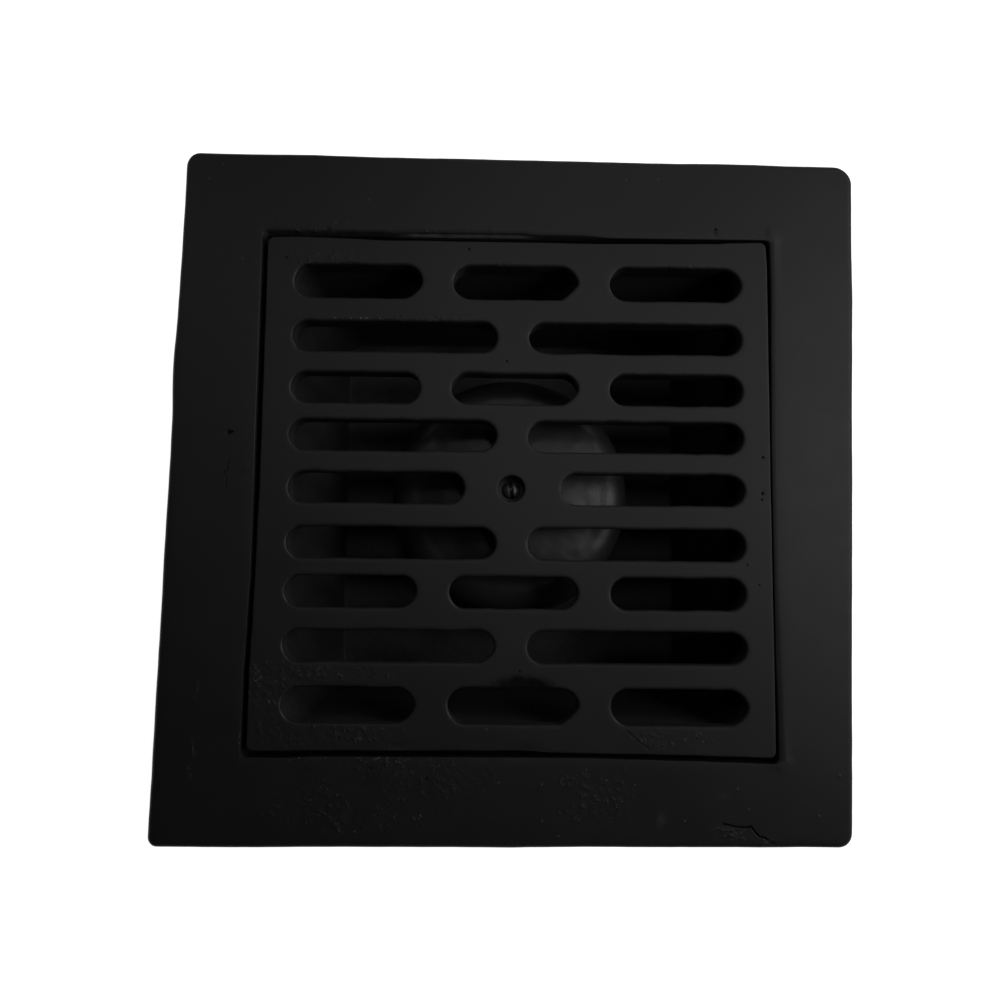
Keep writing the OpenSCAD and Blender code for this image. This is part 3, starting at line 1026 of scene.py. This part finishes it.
def build_grate():
    shell = Shell()
    low = LEDGE_Z
    walls = [add_slot(shell, slot) for slot in SLOTS]
    bottoms = [bottom for bottom, _ in walls]
    hole_low, well = add_well(shell)

    boss = shell.ring(circle_loop(BOSS_R + 1.0, BOSS_STEPS), low)
    boss_low = shell.sweep(lambda r: circle_loop(r, BOSS_STEPS), [
        (BOSS_R - 0.1, low - 0.9), (BOSS_R - 0.9, BOSS_Z + 0.5, 0.0, 2), (BOSS_R - 1.4, BOSS_Z, 0.6),
    ])
    shell.cap(boss_low, [hole_low], [], BOSS_Z, up=False)

    outer_top = shell.ring(grate_loop(GRATE_EDGE_R + 0.5), GRATE_Z)
    tops = [top for _, top in walls]
    shell.cap(outer_top, [*tops, well], fine_grid(GRATE_HALF, 1.1, 0.5, inside_grate), GRATE_Z)
    shell.last = outer_top
    for k in range(6):
        angle = math.pi / 2 * k / 5
        inset = GRATE_EDGE_R * (1 - math.sin(angle))
        z = GRATE_Z - GRATE_EDGE_R * (1 - math.cos(angle))
        shell.to(grate_loop(inset), z, 0.3 + 0.7 * math.sin(2 * angle))
    shell.to(grate_loop(0.0), low + 0.5, 0.2, steps=5)
    outer_low = shell.to(grate_loop(0.5), low, 0.5)
    shell.cap(outer_low, [*bottoms, boss], lattice(GRATE_HALF, 2.2, below_grate), low, up=False)

    def shift(x, y, z, n, e):
        if z < low + 0.2:
            return 0.0
        upward = smooth((z - GRATE_Z + 1.6) / 1.5)
        skin = cast_skin(x, y, z, 12)
        if upward > 0 and max(abs(x), abs(y)) > GRATE_HALF - 0.5:
            skin -= 0.5 * hollow_depth(x, y)
        if upward > 0:
            skin = skin * (1 - upward) + top_skin(x, y, GRATE_Z, 12) * upward
        return skin

    def stains_and_painted_light(x, y, z):
        # Painted highlight in the arcs round the slots' left ends, over the marks' stains and painted
        # shade.
        return max(stains_and_shade_at(x, y), painted_highlight_arc(x, y, z), key=abs) if z > GRATE_Z - 1.2 else 0.0

    return shell.mesh("slotted_grate", shift, stains_and_painted_light)


# Trap bell, stud and nut

BELL_SHOULDER_R = 37.5
SHOULDER_ARC = 9.0
CROWN_FALL = 2.4
CROWN_FLAT_R = 7.0
BELL_T = 3.5
BELL_STEPS = 192


def arc_points(cx, cz, r, start_deg, end_deg, steps):
    """Radius and height of points along an arc of a section."""
    points = []
    for k in range(1, steps + 1):
        angle = math.radians(start_deg + (end_deg - start_deg) * k / steps)
        points.append((cx + r * math.cos(angle), cz + r * math.sin(angle)))
    return points


def build_bell():
    shell = Shell()
    arc_r = BELL_SHOULDER_R - SHOULDER_ARC
    arc_z = BOSS_Z - CROWN_FALL - SHOULDER_ARC
    inner_r = SHOULDER_ARC - BELL_T

    def loop(r):
        return circle_loop(r, BELL_STEPS)

    first = shell.ring(loop(BELL_RIM_R - BELL_T + 0.5), BELL_RIM_Z, 0.8)
    shell.sweep(loop, [(BELL_RIM_R - BELL_T, BELL_RIM_Z + 0.6, 0.5), (arc_r + inner_r, arc_z, 0.0, 12)])
    shell.sweep(loop, arc_points(arc_r, arc_z, inner_r, 0, 90, 7))
    boss_z = BOSS_Z - BELL_T - 1.5
    shell.sweep(loop, [
        (9.3, boss_z + 0.7, 0.0, 10), (9.0, boss_z + 0.3), (8.6, boss_z), (STUD_R + 0.25, boss_z, 0.0, 4),
        (STUD_R + 0.25, BOSS_Z - 0.3, 0.0, 3), (STUD_R + 0.6, BOSS_Z, 0.6), (CROWN_FLAT_R, BOSS_Z, 0.0, 3),
    ])
    for k in range(1, 21):
        t = k / 20
        shell.to(loop(CROWN_FLAT_R + (arc_r - CROWN_FLAT_R) * t), BOSS_Z - CROWN_FALL * t * t)
    shell.sweep(loop, arc_points(arc_r, arc_z, SHOULDER_ARC, 90, 0, 12))
    rim = [(-1, 5, 0.0, 14), (-0.2, 3.4), (0, 2.7, 0.6), (0, 1.2, 0.9), (-0.3, 0.4, 1.0), (-1, 0, 0.8)]
    shell.sweep(loop, [(BELL_RIM_R + out, BELL_RIM_Z + up, *rest) for out, up, *rest in rim])
    shell.bridge(shell.last, first)

    def shift(x, y, z, n, e):
        lumps = wave(x, y, z, 3.2, 43)
        return cast_skin(x, y, z, 41, 0.5) + 0.10 * (lumps - 1)

    return shell.mesh("trap_bell_casting", shift)


THREAD_PITCH = 0.8
THREAD_DEPTH = 0.42
STUD_STEPS = 40
STUD_DOME = 1.3
DRIVER_SLOT_W = 1.15
DRIVER_SLOT_DEPTH = 1.2
DRIVER_SLOT_DEG = 98.0
NUT_FLAT = 4.0
NUT_STEPS = 96


def cut(obj, cutter):
    """Takes the cutter's form out of a piece for good."""
    modifier = obj.modifiers.new("cut", "BOOLEAN")
    modifier.operation = "DIFFERENCE"
    modifier.solver = "EXACT"
    modifier.object = cutter
    graph = bpy.context.evaluated_depsgraph_get()
    data = bpy.data.meshes.new_from_object(obj.evaluated_get(graph))
    obj.modifiers.clear()
    obj.data = data
    bpy.data.objects.remove(cutter)
    data.shade_smooth()


def box_cutter(centre, size, turn_deg):
    form = bmesh.new()
    corners = bmesh.ops.create_cube(form, size=1.0)["verts"]
    bmesh.ops.scale(form, vec=Vector(size) * MM, verts=corners)
    data = bpy.data.meshes.new("cutter")
    form.to_mesh(data)
    form.free()
    obj = bpy.data.objects.new("cutter", data)
    bpy.context.scene.collection.objects.link(obj)
    turn = Matrix.Rotation(math.radians(turn_deg), 4, "Z")
    obj.matrix_world = Matrix.Translation(Vector(centre) * MM) @ turn
    return obj


def build_stud():
    tip, end = stud_high[2], stud_low[2]
    shell = Shell()

    def threaded(z):
        loop = []
        for i in range(STUD_STEPS):
            angle = math.tau * i / STUD_STEPS
            phase = (z / THREAD_PITCH - i / STUD_STEPS) % 1.0
            crest = min(1.0, 1.25 * abs(2 * phase - 1))
            r = STUD_R - THREAD_DEPTH * (1 - crest)
            loop.append((BELL_AT[0] + r * math.cos(angle), BELL_AT[1] + r * math.sin(angle)))
        return loop

    def loop(r):
        return circle_loop(r, STUD_STEPS)

    top = shell.ring(loop(0.15), tip)
    for k in range(1, 9):
        angle = k / 8 * math.pi / 2
        z = tip - STUD_DOME * (1 - math.cos(angle)) ** 1.2
        shell.to(loop(STUD_R * math.sin(angle)), z, 0.6 * k / 8)
    shell.to(loop(STUD_R), tip - STUD_DOME - 0.5, 0.4)
    start = tip - STUD_DOME - 0.8
    length = start - end - 0.8
    rings = round(length / (THREAD_PITCH / 8))
    for k in range(rings):
        z = start - length * k / rings
        shell.to(threaded(z), z, 0.3)
    bottom = shell.sweep(loop, [(STUD_R - THREAD_DEPTH, end + 0.6), (STUD_R - 0.8, end, 0.5)])
    shell.faces += [top, bottom[::-1]]

    def shift(x, y, z, n, e):
        return -0.02 + 0.02 * wave(x, y, z, 1.2, 71)

    stud = shell.mesh("bell_stud_threaded", shift)
    size = (2 * STUD_R + 1, DRIVER_SLOT_W, 2 * DRIVER_SLOT_DEPTH + STUD_DOME)
    cut(stud, box_cutter((*BELL_AT, tip), size, DRIVER_SLOT_DEG))
    return stud


def hexagon_loop(most):
    """A circle, cut by the nut's flats where it is wider than them."""
    loop = []
    for i in range(NUT_STEPS):
        angle = math.tau * i / NUT_STEPS
        off = (angle + math.pi / 6) % (math.pi / 3) - math.pi / 6
        r = min(most, NUT_FLAT / math.cos(off) if most > NUT_FLAT - 0.1 else most)
        turn = angle + math.pi / 6
        loop.append((BELL_AT[0] + r * math.cos(turn), BELL_AT[1] + r * math.sin(turn)))
    return loop


def build_nut():
    low, high = nut_low[2], nut_high[2]
    shell = Shell()
    first = shell.ring(hexagon_loop(STUD_R + 0.05), low + 0.35)
    shell.sweep(hexagon_loop, [
        (STUD_R + 0.05, high - 0.35, 0.0, 3), (STUD_R + 0.4, high, 0.6), (NUT_FLAT - 0.15, high, 0.0, 3),
        (NUT_FLAT + 0.25, high - 0.12, 0.8), (NUT_FLAT + 0.45, high - 0.3, 0.8),
        (NUT_FLAT + 0.7, high - 0.6, 0.4), (NUT_FLAT + 0.7, low + 0.6, 0.0, 4),
        (NUT_FLAT + 0.45, low + 0.3, 0.8), (NUT_FLAT + 0.25, low + 0.12, 0.8),
        (NUT_FLAT - 0.15, low), (STUD_R + 0.4, low, 0.0, 3),
    ])
    shell.bridge(shell.last, first)

    def shift(x, y, z, n, e):
        return -0.02 + 0.015 * wave(x, y, z, 1.0, 81)

    return shell.mesh("bell_nut_hex", shift)


# Materials

BLACK_PAINT = (0.0155, 0.0155, 0.0158)
WORN_PAINT = (0.024, 0.024, 0.024)
BELL_PAINT = (0.019, 0.0189, 0.0187)
DUSTY_IRON = (0.028, 0.0278, 0.0275)
# Pale of rubbed paint, nibs and scuffs, and of the painted highlights on lips, bumps and the recess's back
# wall.
PALE_WEAR_AND_HIGHLIGHT = (0.075, 0.074, 0.072)
# Dark of the painted shade in pits, the smear and between bumps, and of the darkened gouges and crack.
DARK_SHADE_AND_MARKS = (0.0012, 0.0012, 0.0012)
PAINT_GLOSS = 0.2


def shade(color, share):
    return tuple(share * c for c in color)


def on_face(z, places):
    """Centres and half widths in space, from x, y and three half widths each."""
    return [((x, y, z), half) for x, y, *half in places]


class Finish:
    """A material's nodes, in millimetres on the object's own coordinates."""

    def __init__(self, name):
        self.material = bpy.data.materials.new(name)
        self.material.use_nodes = True
        self.nodes = self.material.node_tree.nodes
        self.links = self.material.node_tree.links
        self.shader = self.nodes["Principled BSDF"]
        place = self.nodes.new("ShaderNodeTexCoord").outputs["Object"]
        self.place = self.vector("MULTIPLY", place, (1 / MM,) * 3)

    def put(self, socket, value):
        if isinstance(value, (int, float)):
            socket.default_value = value
        elif isinstance(value, (tuple, list)):
            socket.default_value = (*value, 1.0)[: len(socket.default_value)]
        else:
            self.links.new(value, socket)

    def vector(self, operation, *values, out="Vector"):
        node = self.nodes.new("ShaderNodeVectorMath")
        node.operation = operation
        for socket, value in zip(node.inputs, values):
            self.put(socket, value)
        return node.outputs[out]

    def calc(self, operation, *values):
        """The values joined by an operation, each with the result before it."""
        result = values[0]
        for value in values[1:]:
            node = self.nodes.new("ShaderNodeMath")
            node.operation = operation
            self.put(node.inputs[0], result)
            self.put(node.inputs[1], value)
            result = node.outputs[0]
        return result

    def times(self, *values):
        return self.calc("MULTIPLY", *values)

    def plus(self, *values):
        return self.calc("ADD", *values)

    def most(self, *values):
        return self.calc("MAXIMUM", *values)

    def noise(self, size, detail=2.0, harsh=0.5, shift=0.0):
        node = self.nodes.new("ShaderNodeTexNoise")
        node.noise_dimensions = "4D"
        node.inputs["W"].default_value = shift
        node.inputs["Scale"].default_value = 1.0 / size
        node.inputs["Detail"].default_value = detail
        node.inputs["Roughness"].default_value = harsh
        self.links.new(self.place, node.inputs["Vector"])
        return node.outputs["Fac"]

    def spread(self, value, low, high, to_low=0.0, to_high=1.0):
        """Carries a range of a value smoothly on to another."""
        node = self.nodes.new("ShaderNodeMapRange")
        node.interpolation_type = "SMOOTHSTEP"
        self.put(node.inputs["Value"], value)
        node.inputs["From Min"].default_value = low
        node.inputs["From Max"].default_value = high
        node.inputs["To Min"].default_value = to_low
        node.inputs["To Max"].default_value = to_high
        return node.outputs["Result"]

    def specks(self, size, radius, share, shift=0.0):
        """Small round dots, in this share of the cells of this size."""
        cells = self.nodes.new("ShaderNodeTexVoronoi")
        cells.inputs["Scale"].default_value = 1.0 / size
        self.put(cells.inputs["Vector"], self.vector("ADD", self.place, (shift, shift * 2, shift * 3)))
        dot = self.spread(cells.outputs["Distance"], radius / size * 0.6, radius / size, 1.0, 0.0)
        split = self.nodes.new("ShaderNodeSeparateColor")
        self.links.new(cells.outputs["Color"], split.inputs[0])
        return self.times(dot, self.calc("LESS_THAN", split.outputs[0], share))

    def patch(self, centre, half):
        """1 in the middle of an ellipsoid of these half widths, 0 outside it."""
        away = self.vector("DIVIDE", self.vector("SUBTRACT", self.place, centre), half)
        return self.spread(self.vector("LENGTH", away, out="Value"), 0.5, 1.0, 1.0, 0.0)

    def any_patch(self, patches):
        return self.most(*[self.patch(centre, half) for centre, half in patches])

    def axis(self, name):
        """The place along this axis of the object."""
        split = self.nodes.new("ShaderNodeSeparateXYZ")
        self.links.new(self.place, split.inputs[0])
        return split.outputs[name]

    def of_mesh(self, name):
        """The value that the mesh holds under this name."""
        node = self.nodes.new("ShaderNodeAttribute")
        node.attribute_name = name
        return node.outputs["Fac"]

    def mix(self, factor, a, b):
        node = self.nodes.new("ShaderNodeMix")
        node.data_type = "RGBA"
        self.put(node.inputs["Factor"], factor)
        self.put(node.inputs[6], a)
        self.put(node.inputs[7], b)
        return node.outputs[2]

    def raise_by(self, height, depth=1.0):
        """Raises the shader's surface by height times depth, in millimetres."""
        node = self.nodes.new("ShaderNodeBump")
        node.inputs["Strength"].default_value = 1.0
        node.inputs["Distance"].default_value = depth * MM
        self.links.new(height, node.inputs["Height"])
        self.links.new(node.outputs["Normal"], self.shader.inputs["Normal"])


def painted_iron(name, paint, inside, inside_below, rough, lumps, zones=(), chips=(), gloss=PAINT_GLOSS):
    """Thick black paint on cast iron, dusty inside, rough in its zones and chipped in others."""
    f = Finish(name)
    broad = f.noise(40.0, 2.0, 0.5, 1.0)
    middle = f.noise(9.0, 3.0, 0.5, 2.0)
    fine = f.noise(1.6, 3.0, 0.55, 3.0)
    grains = f.noise(0.5, 2.0, 0.5, 4.0)
    tone = f.plus(f.times(broad, 0.6), f.times(middle, 0.4))
    color = f.mix(f.spread(tone, 0.3, 0.7), shade(paint, 0.93), shade(paint, 1.07))
    rubbed = f.times(f.of_mesh("edge"), f.spread(f.noise(4.0, 3.0, 0.6, 7.0), 0.42, 0.62))
    color = f.mix(f.times(rubbed, 0.3), color, WORN_PAINT)
    depth = f.spread(f.axis("Z"), inside_below, inside_below + 0.9, 1.0, 0.0)
    dusty = f.mix(f.spread(fine, 0.3, 0.7), shade(inside, 0.85), shade(inside, 1.15))
    color = f.mix(depth, color, dusty)
    pale = f.times(f.specks(6.0, 0.2, 0.25, 17.0), 0.35)
    height = f.plus(f.times(middle, lumps), f.times(fine, 0.012), f.times(grains, 0.006))
    painted_bump_shadows = 0.0
    if zones:
        zone = f.times(f.any_patch(zones), f.spread(f.noise(8.0, 2.0, 0.5, 12.0), 0.38, 0.54))
        crust = f.plus(f.noise(1.9, 3.0, 0.6, 6.0), f.times(f.noise(0.8, 2.0, 0.5, 8.0), 0.25))
        crust_peaks_and_glints = f.times(f.spread(crust, 0.70, 0.81), zone)
        swell = f.times(f.spread(crust, 0.5, 0.8), zone)
        height = f.plus(height, f.times(crust_peaks_and_glints, 0.16), f.times(swell, 0.08))
        # Painted highlights: pale specks and pale crust peaks in the rough zones stand in for glints on the
        # bumps.
        painted_glints = f.times(f.specks(2.6, 0.34, 0.45, 31.0), zone, 0.7)
        pale = f.most(pale, painted_glints, f.times(crust_peaks_and_glints, 0.16))
        # Painted shade: dark specks in the rough zones stand in for the shadows between the bumps.
        painted_bump_shadows = f.times(f.specks(2.4, 0.3, 0.35, 53.0), zone, 0.6)
    if chips:
        flakes = f.times(f.spread(f.noise(0.8, 2.0, 0.5, 9.0), 0.57, 0.63), f.any_patch(chips))
        pale = f.most(pale, flakes)
        height = f.plus(height, f.times(flakes, 0.15))
    marked = f.of_mesh("stains_and_painted_light")
    # Pale wear and painted highlights, then painted shade with the darkened marks.
    color = f.mix(f.most(pale, f.times(marked, 0.9)), color, PALE_WEAR_AND_HIGHLIGHT)
    shade_and_dark_marks = f.most(f.times(marked, -1.0), painted_bump_shadows)
    color = f.mix(shade_and_dark_marks, color, DARK_SHADE_AND_MARKS)
    sheen = f.plus(f.spread(middle, 0.3, 0.7, rough - 0.02, rough + 0.02),
                   f.spread(fine, 0.3, 0.7, -0.02, 0.02))
    dulled = f.times(f.most(depth, f.times(shade_and_dark_marks, 2.5)), 0.15)
    f.put(f.shader.inputs["Base Color"], color)
    f.put(f.shader.inputs["Roughness"], f.plus(sheen, dulled))
    f.put(f.shader.inputs["Specular IOR Level"], gloss)
    f.raise_by(height)
    return f.material


def stud_steel():
    """Painted-over steel, worn through on the crests; the dome's right half is painted brighter and more
    metallic as its lit side.
    """
    f = Finish("stud_steel")
    patchy = f.noise(1.8, 3.0, 0.6, 2.0)
    scratch = f.noise(0.35, 2.0, 0.6, 4.0)
    crests = f.spread(f.of_mesh("edge"), 0.05, 0.5, 0.4, 1.0)
    # Painted light: the right half, which faces the lamps, is made brighter and more metallic than the
    # left.
    right = f.spread(f.axis("X"), BELL_AT[0] - 0.3, BELL_AT[0] + 0.5, 0.12, 1.0)
    bare_and_lit = f.times(f.spread(patchy, 0.38, 0.6), crests, right)
    f.put(f.shader.inputs["Base Color"], f.mix(bare_and_lit, (0.02, 0.02, 0.02), (0.22, 0.215, 0.21)))
    f.put(f.shader.inputs["Metallic"], f.times(bare_and_lit, 0.8))
    f.put(f.shader.inputs["Roughness"], f.spread(scratch, 0.3, 0.7, 0.34, 0.52))
    f.raise_by(f.plus(patchy, f.times(scratch, 0.4)), 0.03)
    return f.material


# Lamps and floor


def area_lamp(name, at, aim, size, power):
    data = bpy.data.lights.new(name, "AREA")
    data.shape = "RECTANGLE"
    data.size, data.size_y = size
    data.energy = power
    place_lamp(name, data, at, aim)


def spot_lamp(name, at, aim, cone_deg, radius, power):
    data = bpy.data.lights.new(name, "SPOT")
    data.spot_size = math.radians(cone_deg)
    data.spot_blend = 1.0
    data.shadow_soft_size = radius
    data.energy = power
    place_lamp(name, data, at, aim)


def place_lamp(name, data, at, aim):
    lamp = bpy.data.objects.new(name, data)
    bpy.context.scene.collection.objects.link(lamp)
    lamp.location = at
    lamp.rotation_mode = "QUATERNION"
    lamp.rotation_quaternion = (Vector(aim) - Vector(at)).to_track_quat("-Z", "Y")


def build_lights():
    """Light from the right that falls off to the lower left, with weak light from the other sides."""
    top = (0, 0, 0.09)
    area_lamp("right", (0.40, 0.0, 0.42), top, (0.30, 0.30), 0.72)
    spot_lamp("key_middle", (0.38, 0.10, 0.55), (0.03, 0.03, 0.09), 22, 0.12, 3.0)
    spot_lamp("key_back", (0.42, 0.30, 0.48), (0.05, 0.07, 0.09), 30, 0.14, 3.9)
    spot_lamp("key_right", (0.50, 0.02, 0.46), (0.09, 0.03, 0.09), 30, 0.14, 0.7)
    spot_lamp("above", (0.0, 0.25, 0.88), (-0.02, 0.035, 0.09), 17, 0.06, 1.7)
    spot_lamp("above_right", (0.15, 0.02, 0.90), (0.03, 0.02, 0.09), 16, 0.06, 0.8)
    area_lamp("back", (0.10, 0.60, 0.50), top, (0.30, 0.30), 0.29)
    area_lamp("left_back", (-0.40, 0.30, 0.50), top, (0.25, 0.25), 0.20)
    area_lamp("front_low", (0.0, -0.60, 0.25), top, (0.20, 0.20), 0.04)
    world = bpy.data.worlds.new("studio")
    bpy.context.scene.world = world
    world.use_nodes = True
    background = world.node_tree.nodes["Background"]
    background.inputs["Color"].default_value = (1, 1, 1, 1)
    background.inputs["Strength"].default_value = 0.002


def build_floor():
    """A pale floor that takes the shadow, and shows white to the camera and in glossy rays."""
    mesh = bpy.data.meshes.new("floor")
    half = 4.0
    corners = [(-half, -half, 0), (half, -half, 0), (half, half, 0), (-half, half, 0)]
    mesh.from_pydata(corners, [], [(0, 1, 2, 3)])
    floor = bpy.data.objects.new("floor", mesh)
    bpy.context.scene.collection.objects.link(floor)
    material = bpy.data.materials.new("floor")
    material.use_nodes = True
    nodes, links = material.node_tree.nodes, material.node_tree.links
    nodes.clear()
    diffuse = nodes.new("ShaderNodeBsdfDiffuse")
    diffuse.inputs["Color"].default_value = (0.9, 0.9, 0.9, 1)
    path = nodes.new("ShaderNodeLightPath")
    seen = path.outputs["Is Camera Ray"]
    for ray in ("Is Glossy Ray", "Is Transmission Ray"):
        either = nodes.new("ShaderNodeMath")
        either.operation = "MAXIMUM"
        links.new(seen, either.inputs[0])
        links.new(path.outputs[ray], either.inputs[1])
        seen = either.outputs[0]
    mix = nodes.new("ShaderNodeMixShader")
    links.new(seen, mix.inputs[0])
    for socket, strength in ((1, 0.0), (2, 0.95)):
        glow = nodes.new("ShaderNodeEmission")
        glow.inputs["Strength"].default_value = strength
        links.new(glow.outputs[0], mix.inputs[socket])
    add = nodes.new("ShaderNodeAddShader")
    links.new(diffuse.outputs[0], add.inputs[0])
    links.new(mix.outputs[0], add.inputs[1])
    out = nodes.new("ShaderNodeOutputMaterial")
    links.new(add.outputs[0], out.inputs["Surface"])
    material.cycles.emission_sampling = "NONE"
    mesh.materials.append(material)


build_lights()
build_floor()

# Rough zones and chipped edges of the paint, each as x, y and three half widths
frame_paint = painted_iron(
    "frame_paint", BLACK_PAINT, DUSTY_IRON, LEDGE_Z - 1.5, 0.50, 0.02,
    zones=on_face(TOP_Z, [(-30, -82.5, 34, 8, 4), (-44, -91, 36, 9, 3), (24, -87, 16, 12, 3),
                          (64, -97.6, 11, 3, 3), (-60, 78.5, 20, 3.4, 8), (-20, 78, 24, 1.6, 4)]),
    chips=on_face(TOP_Z, [(-60, -77.0, 9, 1.0, 1.5), (-45, -77.0, 3, 1.0, 1.5), (-34, -77.2, 6.5, 1.2, 1.5),
                          (1, -76.9, 4.5, 0.8, 1.5), (-76.6, -72, 1.0, 7, 2)]))
grate_paint = painted_iron(
    "grate_paint", BLACK_PAINT, DUSTY_IRON, GRATE_Z - 2.2, 0.50, 0.02,
    zones=on_face(GRATE_Z, [(-67, -62, 12, 17, 4), (-52, -71, 28, 4.5, 3), (-50, -53.5, 22, 3, 3),
                            (46, -71.6, 15, 4, 3), (-58, 69.4, 15, 4, 3), (1.5, -56, 13, 3, 3),
                            (-33, 51.0, 22, 1.4, 2), (52, 67, 11, 1.6, 2)]),
    chips=on_face(GRATE_Z, [(-73.0, -53.5, 1.5, 3.5, 1.0), (-68.6, -61.0, 2.2, 3.0, 1.0),
                            (-46, 50.9, 12, 0.6, 1.0), (-16, 50.9, 2, 0.7, 1.0)]))
bell_paint = painted_iron("bell_paint", BELL_PAINT, BELL_PAINT, 0.0, 0.42, 0.22, gloss=0.33)
steel = stud_steel()

PIECES = [
    (build_body, "drain_body", "frame_iron", frame_paint),
    (build_grate, "grate", "grate_iron", grate_paint),
    (build_bell, "trap_bell", "bell_iron", bell_paint),
    (build_stud, "bell_stud", "stud_steel", steel),
    (build_nut, "bell_nut", "stud_steel", steel),
]
for build, node, slot, material in PIECES:
    piece = build()
    piece.data.materials.clear()
    piece.data.materials.append(material)
    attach(piece, "root")
    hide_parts(node)

bpy.context.scene.view_settings.view_transform = "Standard"
